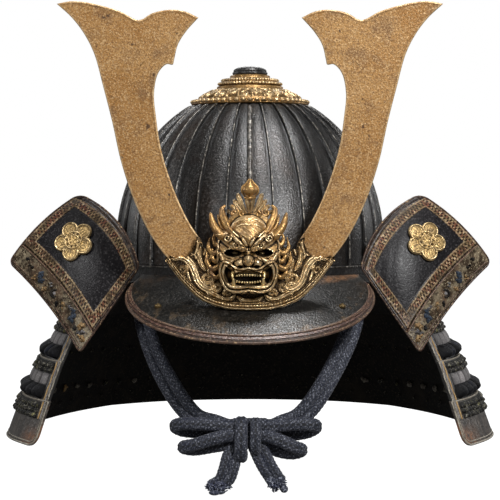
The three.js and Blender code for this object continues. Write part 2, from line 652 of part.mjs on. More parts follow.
// ---- chin cord ----
// Each strand from the band's inner face down to the back of the knot; the right pair hangs closer together
const KNOT = { half: 12, depth: CORD.knotDepth + 8.5, height: CORD.knotHeight + 3, radius: 10.5 };
const STRANDS = {
  left_outer: { side: -1, angle: 68.5, lane: -1, hang: [{ x: 97, y: -54, z: -26 }, { x: 90, y: -74, z: -56 }, { x: 74, y: -94, z: -92 }, { x: 54, y: -102, z: -120 }, { x: 32, y: -104, z: -135 }] },
  left_inner: { side: -1, angle: 56, lane: 1, hang: [{ x: 88, y: -73, z: -30 }, { x: 80, y: -90, z: -62 }, { x: 62, y: -102, z: -94 }, { x: 44, y: -104, z: -114 }, { x: 27, y: -104.5, z: -125.6 }] },
  right_outer: { side: 1, angle: 68.5, lane: -1, hang: [{ x: 96, y: -56, z: -28 }, { x: 87, y: -76, z: -58 }, { x: 68, y: -95, z: -92 }, { x: 50, y: -102, z: -118 }, { x: 30, y: -104, z: -134 }] },
  right_inner: { side: 1, angle: 56, lane: 1, hang: [{ x: 87, y: -74, z: -32 }, { x: 75, y: -91, z: -64 }, { x: 57, y: -102, z: -94 }, { x: 41, y: -104, z: -113 }, { x: 26, y: -104.5, z: -125.4 }] },
};
function strand(name) {
  const s = STRANDS[name],
    a = s.angle * DEG,
    wall = vec(BOWL.halfWidth * Math.sin(a), -BOWL.halfWidth * (1 + BOWL.lengthen) * Math.cos(a), -4.6),
    inward = vec(-Math.sin(a) * (1 + BOWL.lengthen), Math.cos(a), 0).normalize(),
    z = KNOT.height + s.lane * (CORD.radius + GAP / 2);
  const points = [
    wall.clone().addScaledVector(inward, GAP + 0.7),
    wall.clone().addScaledVector(inward, 7).add(vec(0, 0, -0.6)),
    ...s.hang.map((p) => vec(p.x, p.y, p.z)),
    vec(KNOT.half + 6, KNOT.depth, z),
    vec(KNOT.half + GAP, KNOT.depth, z),
  ];
  return tube(points.map((p) => vec(s.side * p.x, p.y, p.z)), CORD.radius, 11, 6);
}

// Bow loops and tails: reach across and down from the knot, forward by front
const LOOPS = [
  { side: -1, reach: 61, high: 12, low: -1, front: 2 },
  { side: 1, reach: 55, high: 13, low: 0, front: 2 },
  { side: -1, reach: 54, high: -2.4, low: -18, front: 3.3 },
  { side: 1, reach: 42, high: -4.3, low: -17.6, front: 3.6 },
];
const TAILS = [
  { from: -14, to: -27, drop: 48 },
  { from: 11, to: 21, drop: 46 },
];
function bow() {
  const k = CORD,
    knot = vec(0, k.knotDepth, k.knotHeight),
    at = (x, y, z) => knot.clone().add(vec(x, y, z));
  const pieces = LOOPS.map((l) =>
    tube(
      [at(0, -l.front, l.high * 0.4), at(l.side * l.reach * 0.5, -l.front, l.high), at(l.side * l.reach * 0.9, -l.front, (l.high * 2 + l.low) / 3 + 2), at(l.side * l.reach, -l.front, (l.high + l.low) / 2),
        at(l.side * l.reach * 0.9, -l.front, (l.high + l.low * 2) / 3 - 2), at(l.side * l.reach * 0.5, -l.front, l.low), at(0, -l.front, l.low * 0.6)],
      k.radius,
      8,
      6,
    ),
  );
  for (const t of TAILS) pieces.push(tube([at(t.from * 0.3, -2, 0), at(t.from, -4, -14), at(mix(t.from, t.to, 0.6), -4, -32), at(t.to, -4, -t.drop)], k.radius * 1.7, 5, 6));
  pieces.push(tube([at(-6, -9, 16), at(-6, -11, 0), at(-7, -9, -18)], k.radius * 1.15, 4, 6));
  pieces.push(tube([at(5, -9, 15), at(5, -11, 0), at(5, -9, -14)], k.radius * 1.15, 4, 6));
  pieces.push(tube([vec(-KNOT.half, KNOT.depth, KNOT.height), vec(KNOT.half, KNOT.depth, KNOT.height)], KNOT.radius, 1, 6));
  return joined(pieces);
}

// ---- assembly ----
const kabuto = new THREE.Group();
kabuto.name = "kabuto";
const finish = (color, metalness, roughness) => new THREE.MeshStandardMaterial({ color, metalness, roughness });
const iron = finish(0x22211f, 0.7, 0.45),
  gilt = finish(0x9a7a42, 0.9, 0.4),
  bronze = finish(0x5d4a2e, 0.8, 0.45),
  leather = finish(0x1c1814, 0.1, 0.6),
  lacquer = finish(0x141315, 0.2, 0.25),
  lace = finish(0x1c2340, 0, 0.9),
  silk = finish(0x27305a, 0, 0.9);
const add = (name, geometry, material) => {
  const mesh = new THREE.Mesh(geometry, material);
  mesh.name = name;
  kabuto.add(mesh);
};

add("bowl", bowl(), iron);
add("bowl_band", band(), iron);
add("front_spine", spine(), bronze);
add("crown_base", crownBase(), gilt);
add("crown_collar", crownCollar(), gilt);
add("crown_cap", crownCap(), iron);
add("brim", brim(), leather);
add("brim_edge", brimEdge(), leather);
add("brim_rivet_right", brimRivet(), gilt);
add("brim_rivet_left", mirrored(brimRivet()), gilt);
add("crest_base", onSeat(crestBase()), gilt);
add("crest_mask", onSeat(crestMask()), gilt);
add("crest_palmette", onSeat(palmette()), gilt);
add("horn_right", onSeat(horn()), bronze);
add("horn_left", onSeat(mirrored(horn())), bronze);
add("turnback_left", turnback(), leather);
add("turnback_right", mirrored(turnback()), leather);
add("turnback_flower_left", flower(), gilt);
add("turnback_flower_right", mirrored(flower()), gilt);
add("neck_lame_1", topLame(), lacquer);
for (let k = 1; k < STATIONS.length - 1; k++) add("neck_lame_" + (k + 1), lame(k), lacquer);
for (let k = 0; k < STATIONS.length - 2; k++) add("lacing_row_" + (k + 1), laceRow(k), lace);
for (const name of Object.keys(STRANDS)) add("chin_cord_" + name, strand(name), silk);
add("chin_cord_bow", bow(), silk);

export default kabuto;
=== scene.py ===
import math

import bmesh
import bpy
import numpy as np
from mathutils import Matrix, Vector


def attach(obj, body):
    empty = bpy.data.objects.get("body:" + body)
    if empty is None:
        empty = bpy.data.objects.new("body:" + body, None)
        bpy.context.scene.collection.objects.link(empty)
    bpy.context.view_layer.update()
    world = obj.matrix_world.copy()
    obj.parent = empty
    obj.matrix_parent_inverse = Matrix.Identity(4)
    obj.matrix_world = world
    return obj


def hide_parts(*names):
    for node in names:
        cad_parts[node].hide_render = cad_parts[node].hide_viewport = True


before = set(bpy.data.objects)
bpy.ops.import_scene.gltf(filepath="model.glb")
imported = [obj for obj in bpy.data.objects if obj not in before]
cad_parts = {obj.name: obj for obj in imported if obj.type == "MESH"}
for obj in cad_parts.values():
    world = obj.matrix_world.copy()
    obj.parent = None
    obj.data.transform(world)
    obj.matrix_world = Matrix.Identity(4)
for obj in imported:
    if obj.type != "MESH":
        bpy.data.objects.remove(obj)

bl_info = {
    "name": "Kabuto Helmet",
    "version": (1, 0, 0),
    "blender": (4, 5, 0),
    "location": "3D View > Sidebar > Kabuto",
    "description": "Makes a ribbed samurai helmet with its crest, horns, turnbacks, neck guard and knotted chin cord",
    "category": "Add Mesh",
}

MM = 0.001
BODY = "root"
SIDES = ((-1, "left"), (1, "right"))
# Corners closer than this, in metres, become one.
MERGE = 2e-6
# What each corner of a mesh carries for its finish: rubbed edges (on raised relief and rib tops partly a painted
# highlight), painted shade in hollows, gaps and crevices (in places real grime or tarnish), a tone of its own, and
# then, in millimetres, the distance in from the edge and the place along it.
MARKS = ("worn", "deep", "tone", "edge", "along")

# ---- shared shapes, in millimetres: +Z up, the wearer faces -Y ----
# The bowl: half its width, how much longer it is than wide, and the heights of its rim, shoulder and top.
BOWL_WIDE, BOWL_LONG, RIM_Z, SHOULDER_Z, TOP_Z = 116.0, 0.13, 4.0, 20.0, 154.0
BOWL_WALL = 2.5
# The brim: half its spread in degrees, its reach and its drop in the middle, and both at its ends.
BRIM_SPREAD, BRIM_REACH, BRIM_DROP, END_REACH, END_DROP = 50, 54, 42, 4, 5
# The neck guard's levels: height, radius, the step out to the lame below, and where that lame's ends stand in degrees
# from the front, at its top and at its foot.
STATIONS = [(-10, 120.3, 0, 51, 57), (-44, 161, 2.4, 60, 60), (-76, 182, 1.2, 58, 58), (-108, 198, 1, 56, 56),
            (-145, 213, 0, 0, 0)]
GUARD_WALL, GUARD_LAP, GUARD_LONG = 2.0, 5.0, 15.0
LAST_LAME = len(STATIONS) - 2
# The left turnback's corners.
TURN = {"outer": (-206, -52, 5), "tip": (-141, -105, -68), "upper": (-145, -62, 63), "inner": (-93, -92, 2)}
TURN_WALL = 3.0
KNOT = (0.0, -113.0, -136.0)
CREST_SEAT = (0.0, -0.31, 0.43)


def xyz(x, y, z):
    """Points from three coordinates, each one a number or an array."""
    return np.stack(np.broadcast_arrays(np.asarray(x, float), y, z), -1)


def mix(a, b, t):
    """a at 0, b at 1 and even between them."""
    return a + (b - a) * t


def step(low, high, t):
    """0 below low, 1 above high and smooth between them."""
    s = np.clip((t - low) / (high - low), 0, 1)
    return s * s * (3 - 2 * s)


def ridge(distance, half):
    """A round ridge: 1 on its line, 0 from half its width out."""
    return np.sqrt(np.clip(1 - (distance / half) ** 2, 0, 1))


def wobble(*axes, seed=0.0):
    """A smooth uneven value from -1 to 1 over one to three coordinates."""
    total = 0.0
    for i, (pace, share) in enumerate([(1.0, 0.5), (1.9, 0.3), (3.7, 0.2)]):
        turn = seed * 1.7 + i * 2.1
        waves = sum(pace * a * (1 + 0.31 * j) + turn * (1 + j) for j, a in enumerate(axes))
        total = total + share * np.sin(waves + np.sin(pace * axes[-1] * 0.7 + turn))
    return total


def bowl_point(angle, lift, off=0.0):
    """A point on the bowl: angle from the front to +X, lift 0 at the shoulder and 1 at the top, off the surface."""
    rise = TOP_Z - SHOULDER_Z
    phi = np.maximum(0, lift) * math.pi / 2
    share = np.cos(phi)
    rx = BOWL_WIDE * share
    ry = rx * (1 + BOWL_LONG * share ** 3)
    z = np.where(lift < 0, mix(SHOULDER_Z, RIM_Z, -lift), SHOULDER_Z + rise * np.sin(phi))
    n = xyz(np.sin(angle) * share * rise, -np.cos(angle) * share * rise * 0.9, np.sin(phi) * BOWL_WIDE)
    n /= np.linalg.norm(n, axis=-1, keepdims=True)
    return xyz(rx * np.sin(angle), -ry * np.cos(angle), z) + n * np.asarray(off)[..., None]


def oval_point(angle, stand, z):
    """A point on the bowl's oval foot, standing out from it, at a height."""
    return xyz((BOWL_WIDE + stand) * np.sin(angle), -(BOWL_WIDE * (1 + BOWL_LONG) + stand) * np.cos(angle), z)


def brim_point(across, out, below=0.0):
    """The brim from one end to the other, and out from the band to its edge."""
    t = 2 * across - 1
    angle = t * math.radians(BRIM_SPREAD)
    rest = np.maximum(0, 1 - t * t)
    root = oval_point(angle, 2.8, -4.0)
    reach = (BRIM_REACH * rest ** 0.6 * (1.12 - 0.12 * out) + END_REACH) * out
    drop = (BRIM_DROP * rest ** 0.8 * (1.04 - 0.04 * out) + END_DROP) * out
    run = reach - 0.6 * below * out
    return root + xyz(np.sin(angle) * run, -np.cos(angle) * run, -drop - 0.8 * below)


def crest_depth(x, z):
    """How far back the middle of the crest lies there."""
    return -167 + 0.1 * (z + 30) + x * x / 450


def horn_depth(z):
    """How far back the horns lie at a height."""
    return -149 - 0.06 * (z - 10)


def turn_point(u, v, off=0.0):
    """The left turnback between its four corners, bowed and bulged."""

    def bowed(a, b, t, bow):
        """A point of the bowed line from a to b."""
        a, b = np.array(a, float), np.array(b, float)
        length = math.hypot(b[0] - a[0], b[2] - a[2])
        out = 4 * t * (1 - t) * bow
        side = np.array([-(b[2] - a[2]) / length, 0, (b[0] - a[0]) / length])
        return a + (b - a) * t[..., None] + side * out[..., None]

    u, v = np.broadcast_arrays(np.asarray(u, float), v)
    U, V = u[..., None], v[..., None]
    corner = {k: np.array(c, float) for k, c in TURN.items()}
    p = bowed(TURN["outer"], TURN["tip"], u, 4) * (1 - V) + bowed(TURN["upper"], TURN["inner"], u, 10) * V
    p = p + bowed(TURN["outer"], TURN["upper"], v, 5) * (1 - U) + bowed(TURN["tip"], TURN["inner"], v, 0) * U
    p = p - (corner["outer"] * (1 - U) + corner["tip"] * U) * (1 - V)
    p = p - (corner["upper"] * (1 - U) + corner["inner"] * U) * V
    p[..., 1] -= 9 * 16 * u * (1 - u) * v * (1 - v) + off
    return p


def lame_height(k):
    """From the top edge of lame k to its foot, with its lap over the next one."""
    return STATIONS[k][0] - STATIONS[k + 1][0] + (GUARD_LAP if k < LAST_LAME else 0)


def lame_point(k, along, down, off=0.0):
    """Neck guard lame k: along from its right front end round the back, down from its top edge, off the middle."""
    a, b = STATIONS[k], STATIONS[k + 1]
    height = mix(a[0], a[0] - lame_height(k), down)
    radius = mix(a[1] + a[2], b[1], down) + off
    end = np.radians(mix(a[3], a[4], down))
    angle = mix(end, 2 * math.pi - end, along)
    w = (STATIONS[0][0] - height) / (STATIONS[0][0] - STATIONS[-1][0])
    if k == LAST_LAME:
        from_back = np.abs(np.degrees(angle) - 180)
        height = height + down * np.interp(from_back, [0, 25, 40, 55, 65, 75, 115],
                                           [4.2, 4.2, 3.6, 0.4, -1.8, -2.6, 0])
    return xyz(radius * np.sin(angle), -(radius + GUARD_LONG * (1 - w)) * np.cos(angle), height)


def top_lame_point(along, down, off=0.0):
    """The top lame, whose two ends bend forward to the back of the turnbacks."""
    ends = 0.035
    body = lame_point(0, np.clip((along - ends) / (1 - 2 * ends), 0, 1), down, off)
    height = mix(-15, -49, down)
    share = (height + 68) / 70
    left = turn_point(0.967 - 0.012 * off, share, -1.9)
    right = left * np.array([-1, 1, 1])
    t = np.clip(np.abs(along - 0.5) - (0.5 - ends), 0, ends) / ends
    return body * (1 - t[..., None]) + np.where((along < 0.5)[..., None], right, left) * t[..., None]


def through(points, count):
    """count points at even steps along the smooth line through the given ones."""
    p = np.array(points, float)
    p = np.vstack([2 * p[0] - p[1], p, 2 * p[-1] - p[-2]])
    fine = []
    for p0, p1, p2, p3 in zip(p, p[1:], p[2:], p[3:]):
        d0, d1, d2 = (max(np.linalg.norm(b - a), 1e-6) ** 0.5 for a, b in ((p0, p1), (p1, p2), (p2, p3)))
        t1 = ((p1 - p0) / d0 - (p2 - p0) / (d0 + d1) + (p2 - p1) / d1) * d1
        t2 = ((p2 - p1) / d1 - (p3 - p1) / (d1 + d2) + (p3 - p2) / d2) * d1
        t = np.linspace(0, 1, 24, endpoint=False)[:, None]
        fine.append(p1 + t1 * t + (3 * (p2 - p1) - 2 * t1 - t2) * t ** 2 + (2 * (p1 - p2) + t1 + t2) * t ** 3)
    fine = np.vstack(fine + [p[-2][None]])
    run = np.concatenate([[0], np.cumsum(np.linalg.norm(np.diff(fine, axis=0), axis=1))])
    at = np.linspace(0, run[-1], count)
    return np.stack([np.interp(at, run, fine[:, i]) for i in range(fine.shape[1])], 1)


def spiral(x, z, radius, turns, start, tail=0.2, half=None):
    """A flat curl about x, z that shrinks to the share tail; half is its half width at the start."""
    t = np.linspace(0, 1, 22)
    r = radius * (1 - (1 - tail) * t)
    a = start + t * turns * 2 * math.pi
    columns = [x + r * np.cos(a), z + r * np.sin(a)]
    return np.stack(columns + ([half * (1 - 0.45 * t)] if half else []), 1)


def near(x, z, lines):
    """Distance from each point to the nearest flat line, in half widths where a line's third column gives them."""
    best = np.full(np.shape(x), 1e9)
    for line in lines:
        line = np.asarray(line, float)
        wide = line[:, 2] if line.shape[1] > 2 else np.ones(len(line))
        for a, b, p, q in zip(line[:, :2], line[1:, :2], wide, wide[1:]):
            d = b - a
            t = np.clip(((x - a[0]) * d[0] + (z - a[1]) * d[1]) / max(d @ d, 1e-9), 0, 1)
            best = np.minimum(best, np.hypot(x - a[0] - t * d[0], z - a[1] - t * d[1]) / (p + (q - p) * t))
    return best


# ---- meshes ----
def blank():
    """An empty mesh with room for its marks."""
    bm = bmesh.new()
    bm.loops.layers.uv.new("UVMap")
    for name in MARKS:
        bm.verts.layers.float.new(name)
    return bm


def mark(bm, **values):
    """Writes marks on a mesh's corners, each one a number or a number a corner."""
    for name, value in values.items():
        layer = bm.verts.layers.float[name]
        value = np.broadcast_to(value, len(bm.verts))
        for vert, x in zip(bm.verts, value):
            vert[layer] = x


def face_towards(bm, toward):
    """Turns the whole sheet over if it faces away from the direction, or inwards where that is 'out'."""
    way = lambda f: Vector((*f.calc_center_median().xy, 0)) if toward == "out" else Vector(toward)
    if sum(f.calc_area() * f.normal.dot(way(f)) for f in bm.faces) < 0:
        bmesh.ops.reverse_faces(bm, faces=bm.faces[:])


def grid(columns, rows, place, wall=0.0, joined=False, toward=None):
    """A sheet of columns by rows faces that lies where place(u, v) says; wall is its thickness behind that face."""
    bm = blank()
    bmesh.ops.create_grid(bm, x_segments=columns, y_segments=rows, size=0.5, calc_uvs=True)
    at = np.array([v.co.xy for v in bm.verts]) + 0.5
    made = place(at[:, 0], at[:, 1])
    points, marks = made if isinstance(made, tuple) else (made, {})
    for vert, point in zip(bm.verts, points * MM):
        vert.co = point
    mark(bm, **marks)
    if joined:
        bmesh.ops.remove_doubles(bm, verts=bm.verts, dist=MERGE)
    bmesh.ops.recalc_face_normals(bm, faces=bm.faces)
    if toward is not None:
        face_towards(bm, toward)
    if wall:
        bmesh.ops.solidify(bm, geom=bm.faces[:], thickness=wall * MM)
    return bm


def tube(points, radius, sides=12, pitch=1.5, braid=0.0, cells=8, lobes=0.0, upright=None, across=None, tone=0.5):
    """A round bar along the points with rounded ends. braid is the relief of its plait, cells its diamonds round it;
    lobes presses it flat into two ridges, facing the direction upright or lying along the direction across."""
    length = np.linalg.norm(np.diff(np.array(points, float), axis=0), axis=1).sum()
    rings = max(4, int(length / pitch))
    line = through(points, rings + 1)
    run = np.concatenate([[0], np.cumsum(np.linalg.norm(np.diff(line, axis=0), axis=1))])
    tangent = np.gradient(line, axis=0)
    tangent /= np.linalg.norm(tangent, axis=1, keepdims=True)
    side = np.zeros_like(line)
    if upright is not None:
        side[:] = np.array(upright, float)
        side -= tangent * (side * tangent).sum(1, keepdims=True)
    elif across is not None:
        side = np.cross(np.array(across, float), tangent)
    else:
        side[0] = np.cross(tangent[0], (0.31, 0.2, 0.93))
        for i in range(1, len(line)):
            side[i] = side[i - 1] - tangent[i] * (side[i - 1] @ tangent[i])
            side[i] /= np.linalg.norm(side[i])
    side /= np.linalg.norm(side, axis=1, keepdims=True)
    other = np.cross(tangent, side)
    caps = 3
    total = rings + 2 * caps
    thick = np.asarray(radius, float) if np.ndim(radius) else np.full(rings + 1, float(radius))
    thick = np.interp(np.linspace(0, 1, rings + 1), np.linspace(0, 1, len(thick)), thick)

    def place(u, v):
        j = np.rint(v * total).astype(int)
        i = np.clip(j - caps, 0, rings)
        over = np.where(j < caps, caps - j, np.where(j > total - caps, j - total + caps, 0)) / caps
        shrink = np.cos(over * math.pi / 2)
        shift = np.where(j < caps, -1, 1) * np.sin(over * math.pi / 2) * thick[i] * 0.45
        a = 2 * math.pi * u
        twist = run[i] * cells / (2 * thick.mean())
        plait = np.abs(np.sin(cells / 2 * a + twist) * np.sin(cells / 2 * a - twist)) if braid else 0.0
        r = thick[i] * shrink + braid * (plait - 0.55) * shrink
        p = r * np.cos(a)
        q = r * np.sin(a)
        middle = np.exp(-(np.cos(a) / 0.3) ** 2) if lobes else 0.0
        if lobes:
            q = q * (1 - lobes * (0.4 + 0.6 * middle))
        point = line[i] + tangent[i] * shift[:, None] + other[i] * p[:, None] + side[i] * q[:, None]
        # Painted shade in the crevices of the plait and along the groove of a pressed bar.
        deep = np.clip(((1 - plait) * 0.9 if braid else 0.0) + 0.35 * middle, 0, 1)
        return point, {"deep": deep, "along": run[i], "tone": tone}

    return grid(sides, total, place, joined=True)


def ball(at, radius, around=10, rows=6, squash=(1, 1, 1), tone=0.5):
    """A ball, squashed along the three axes."""
    bm = blank()
    matrix = Matrix.Translation(Vector(at) * MM) @ Matrix.Diagonal((*squash, 1))
    bmesh.ops.create_uvsphere(bm, u_segments=around, v_segments=rows, radius=radius * MM, matrix=matrix)
    mark(bm, tone=tone, worn=0.4)
    return bm


def spike(base, tip, radius, sides=16, bend=(0, 0, 0), rows=10):
    """A curved pointed horn or tooth from its base to its tip."""
    base, tip, bend = (np.array(p, float) for p in (base, tip, bend))
    middle = (base + tip) / 2 + bend
    t = np.linspace(0, 1, rows + 1)
    return tube([base, middle, tip], radius * np.sqrt(np.clip(1 - t ** 1.6, 0, 1)) + 0.05, sides,
                np.linalg.norm(tip - base) / rows)


def spun(profile, sides, relief=None):
    """A profile of radius and height turned about the middle; relief(angle, share, r, z) moves it out and up."""
    line = through(profile, len(profile) * 8)

    def place(u, v):
        i = np.rint(v * (len(line) - 1)).astype(int)
        a = 2 * math.pi * u
        r, z = line[i, 0], line[i, 1]
        marks = {}
        if relief is not None:
            out, up, marks = relief(a, v, r, z)
            r, z = r + out, z + up
        return xyz(r * np.sin(a), -r * np.cos(a), z), marks

    return grid(sides, len(line) - 1, place, joined=True)


def gather(*parts):
    """Several meshes as one; a part may be (mesh, number of its material)."""
    whole = blank()
    for part in parts:
        bm, index = part if isinstance(part, tuple) else (part, None)
        if index is not None:
            for f in bm.faces:
                f.material_index = index
        scratch = bpy.data.meshes.new("scratch")
        bm.to_mesh(scratch)
        bm.free()
        whole.from_mesh(scratch)
        bpy.data.meshes.remove(scratch)
    return whole


def close_edge(bm):
    """Joins the edges of a sheet's two faces all round."""
    bmesh.ops.bridge_loops(bm, edges=[e for e in bm.edges if e.is_boundary])
    bmesh.ops.recalc_face_normals(bm, faces=bm.faces)


def mirrored(bm):
    """The same mesh on the other side of the helmet."""
    bmesh.ops.scale(bm, vec=(-1, 1, 1), verts=bm.verts[:])
    bmesh.ops.reverse_faces(bm, faces=bm.faces[:])
    return bm


def seated(bm, across=0.0):
    """A crest part moved from where it's drawn onto the brim's face, and across by some millimetres."""
    bmesh.ops.translate(bm, vec=(Vector(CREST_SEAT) + Vector((across, 0, 0))) * MM, verts=bm.verts[:])
    return bm


def piece(name, bm, materials, nodes=(), angle=38):
    """A finished piece on the helmet's body, standing for nodes; edges past the angle in degrees are sharp."""
    name = name.replace(" ", "_")
    mesh = bpy.data.meshes.new(name)
    bm.to_mesh(mesh)
    bm.free()
    mesh.polygons.foreach_set("use_smooth", [True] * len(mesh.polygons))
    mesh.set_sharp_from_angle(angle=math.radians(angle))
    for material in materials if isinstance(materials, (list, tuple)) else [materials]:
        mesh.materials.append(material)
    obj = bpy.data.objects.new(name, mesh)
    bpy.context.scene.collection.objects.link(obj)
    if nodes:
        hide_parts(*nodes)
    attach(obj, BODY)
    return obj


# ---- finishes ----
def add(tree, kind, inputs=(), **settings):
    """A new node with its settings, and its inputs set or linked."""
    node = tree.nodes.new(kind)
    for key, value in settings.items():
        setattr(node, key, value)
    for key, value in dict(inputs).items():
        if isinstance(value, bpy.types.NodeSocket):
            tree.links.new(value, node.inputs[key])
        else:
            node.inputs[key].default_value = value
    return node


def blend(tree, factor, a, b, mode="MIX"):
    """The colour between a and b."""
    solid = lambda colour: colour if isinstance(colour, bpy.types.NodeSocket) else (*colour, 1)
    return add(tree, "ShaderNodeMix", {0: factor, 6: solid(a), 7: solid(b)}, data_type="RGBA", blend_type=mode,
               clamp_factor=True).outputs[2]


def maths(tree, operation, a, b=0.0, clamp=False):
    """One operation on two values."""
    return add(tree, "ShaderNodeMath", {0: a, 1: b}, operation=operation, use_clamp=clamp).outputs[0]


def ramp(tree, value, low, high):
    """0 up to low, 1 from high on and even between them."""
    return add(tree, "ShaderNodeMapRange", {"Value": value, "From Min": low, "From Max": high}).outputs["Result"]


def place_of(tree):
    """Where a point of the surface lies on its own piece."""
    return add(tree, "ShaderNodeTexCoord").outputs["Object"]


def clouds(tree, place, scale, detail=3.0, rough=0.65, warp=0.0):
    """Uneven clouds, finer the larger their scale."""
    inputs = {"Vector": place, "Scale": scale, "Detail": detail, "Roughness": rough, "Distortion": warp}
    return add(tree, "ShaderNodeTexNoise", inputs).outputs["Fac"]


def stain(tree, place, colour, tint, scale, low, high, share=1.0, detail=3.0, rough=0.65):
    """The colour under clouds of the tint."""
    mask = ramp(tree, clouds(tree, place, scale, detail, rough), low, high)
    return blend(tree, maths(tree, "MULTIPLY", mask, share), colour, tint)


def new_group(name, inputs, output_names):
    """An empty node group, the sockets that feed it and the ones it feeds."""
    tree = bpy.data.node_groups.new(name, "ShaderNodeTree")
    for label, default in inputs:
        socket = tree.interface.new_socket(label, in_out="INPUT", socket_type="NodeSocketFloat")
        socket.default_value = default
    for label in output_names:
        tree.interface.new_socket(label, in_out="OUTPUT", socket_type="NodeSocketFloat")
    return tree, tree.nodes.new("NodeGroupInput").outputs, tree.nodes.new("NodeGroupOutput").inputs


def speckle_group():
    """Fine specks: a mask of them and a height for a bump."""
    tree, given, result = new_group("Fine specks", [("Scale", 900.0), ("Share", 0.5)], ["Specks", "Height"])
    height = clouds(tree, place_of(tree), given["Scale"], detail=2.0, rough=0.6)
    low = maths(tree, "SUBTRACT", 0.68, maths(tree, "MULTIPLY", given["Share"], 0.36))
    tree.links.new(ramp(tree, height, low, maths(tree, "ADD", low, 0.14)), result["Specks"])
    tree.links.new(height, result["Height"])


def patch_group():
    """Large soft-edged patches, as of rubbing or dirt."""
    tree, given, result = new_group("Worn patches", [("Scale", 40.0), ("Share", 0.5), ("Softness", 0.1)], ["Patches"])
    height = clouds(tree, place_of(tree), given["Scale"], detail=6.0, rough=0.6, warp=0.6)
    low = maths(tree, "SUBTRACT", 0.7, maths(tree, "MULTIPLY", given["Share"], 0.4))
    tree.links.new(ramp(tree, height, low, maths(tree, "ADD", low, given["Softness"])), result["Patches"])


def group_node(tree, name, inputs):
    """A node group put to use, with its inputs set."""
    node = add(tree, "ShaderNodeGroup")
    node.node_tree = bpy.data.node_groups[name]
    for key, value in inputs.items():
        node.inputs[key].default_value = value
    return node


def own(tree, name):
    """A mark that the piece's corners carry."""
    return add(tree, "ShaderNodeAttribute", attribute_name=name, attribute_type="GEOMETRY").outputs["Fac"]


def finish(name, base, second, deep, worn, metallic=0.0, rough=0.5, speck=(900, 0.5), patch=None,
           patches=(40, 0.4, 0.1), bump=0.15, coat=0.0, tone=0.0,
           rough_worn=None, worn_share=0.9, paint=None, sheen=0.0, shine=0.5):
    """A finish: base with specks of second and patches of patch, painted shade in hollows and worn edges that are
    partly a painted highlight.

    speck is the scale and share of the specks, patches the scale, share and softness of the patches, tone how far a
    part's own shade goes, worn_share and rough_worn how much of an edge is rubbed and how rough it is there.
    """
    material = bpy.data.materials.new(name)
    material.use_nodes = True
    tree = material.node_tree
    shader = tree.nodes["Principled BSDF"]
    fine = group_node(tree, "Fine specks", {"Scale": speck[0], "Share": speck[1]})
    colour = blend(tree, fine.outputs["Specks"], base, second)
    if paint is not None:
        colour = paint(tree, colour)
    if patch is not None:
        big = group_node(tree, "Worn patches", {"Scale": patches[0], "Share": patches[1], "Softness": patches[2]})
        colour = blend(tree, big.outputs["Patches"], colour, patch)
    if tone:
        shade = add(tree, "ShaderNodeMapRange", {"Value": own(tree, "tone"), "To Min": 1 - tone,
                                                 "To Max": 1 + tone}).outputs["Result"]
        grey = add(tree, "ShaderNodeCombineColor", {0: shade, 1: shade, 2: shade}).outputs[0]
        colour = blend(tree, 1.0, colour, grey, "MULTIPLY")
    # Painted shade: hollows and gaps are darkened towards the shade colour; in places this stands for real grime.
    colour = blend(tree, own(tree, "deep"), colour, deep)
    # Rubbed edges are lightened; on raised relief and rib tops this is partly a painted highlight.
    rub = group_node(tree, "Worn patches", {"Scale": 260.0, "Share": worn_share, "Softness": 0.3})
    rubbed = maths(tree, "MULTIPLY", own(tree, "worn"), rub.outputs["Patches"], clamp=True)
    colour = blend(tree, rubbed, colour, worn)
    tree.links.new(colour, shader.inputs["Base Color"])
    constants = {"Metallic": metallic, "Coat Weight": coat, "Coat Roughness": 0.2, "Specular IOR Level": shine,
                 "Sheen Weight": sheen}
    for key, value in constants.items():
        shader.inputs[key].default_value = value
    span = {"From Min": 0.3, "From Max": 0.7, "To Min": max(0.02, rough - 0.1), "To Max": min(1, rough + 0.12)}
    roughness = add(tree, "ShaderNodeMapRange", {"Value": fine.outputs["Height"], **span}).outputs["Result"]
    if rough_worn is not None:
        roughness = add(tree, "ShaderNodeMix", {0: rubbed, 2: roughness, 3: rough_worn}).outputs[0]
    tree.links.new(roughness, shader.inputs["Roughness"])
    if bump:
        lift = add(tree, "ShaderNodeBump", {"Height": fine.outputs["Height"], "Strength": bump, "Distance": 0.0008})
        tree.links.new(lift.outputs["Normal"], shader.inputs["Normal"])
    return material


def edge_band(tree, colour):
    """The brim's edge: a speckled reddish strip inside a fine pale line, and rubbed patches further in."""
    edge, place = own(tree, "edge"), place_of(tree)
    noise = lambda scale: clouds(tree, place, scale, detail=4.0, rough=0.7)
    strip = blend(tree, ramp(tree, noise(420.0), 0.46, 0.62), (0.034, 0.015, 0.011), (0.16, 0.088, 0.062))
    from_line = maths(tree, "ABSOLUTE", maths(tree, "SUBTRACT", edge, 4.3))
    line = maths(tree, "MULTIPLY", ramp(tree, from_line, 0.6, 0.2), ramp(tree, noise(180.0), 0.42, 0.52))
    strip = blend(tree, line, strip, (0.17, 0.115, 0.075))
    worn = maths(tree, "MULTIPLY", ramp(tree, noise(85.0), 0.55, 0.63), ramp(tree, edge, 22.0, 7.0))
    colour = blend(tree, maths(tree, "MULTIPLY", worn, 0.8), colour, (0.1, 0.066, 0.036))
    return blend(tree, ramp(tree, edge, 4.9, 4.5), colour, strip)


def stained(rough, *stains):
    """A paint of clouds over the colour, one after another: scale, detail, start, end, share and tint of each."""

    def paint(tree, colour):
        place = place_of(tree)
        for scale, detail, low, high, share, tint in stains:
            colour = stain(tree, place, colour, tint, scale, low, high, share, detail, rough)
        return colour

    return paint


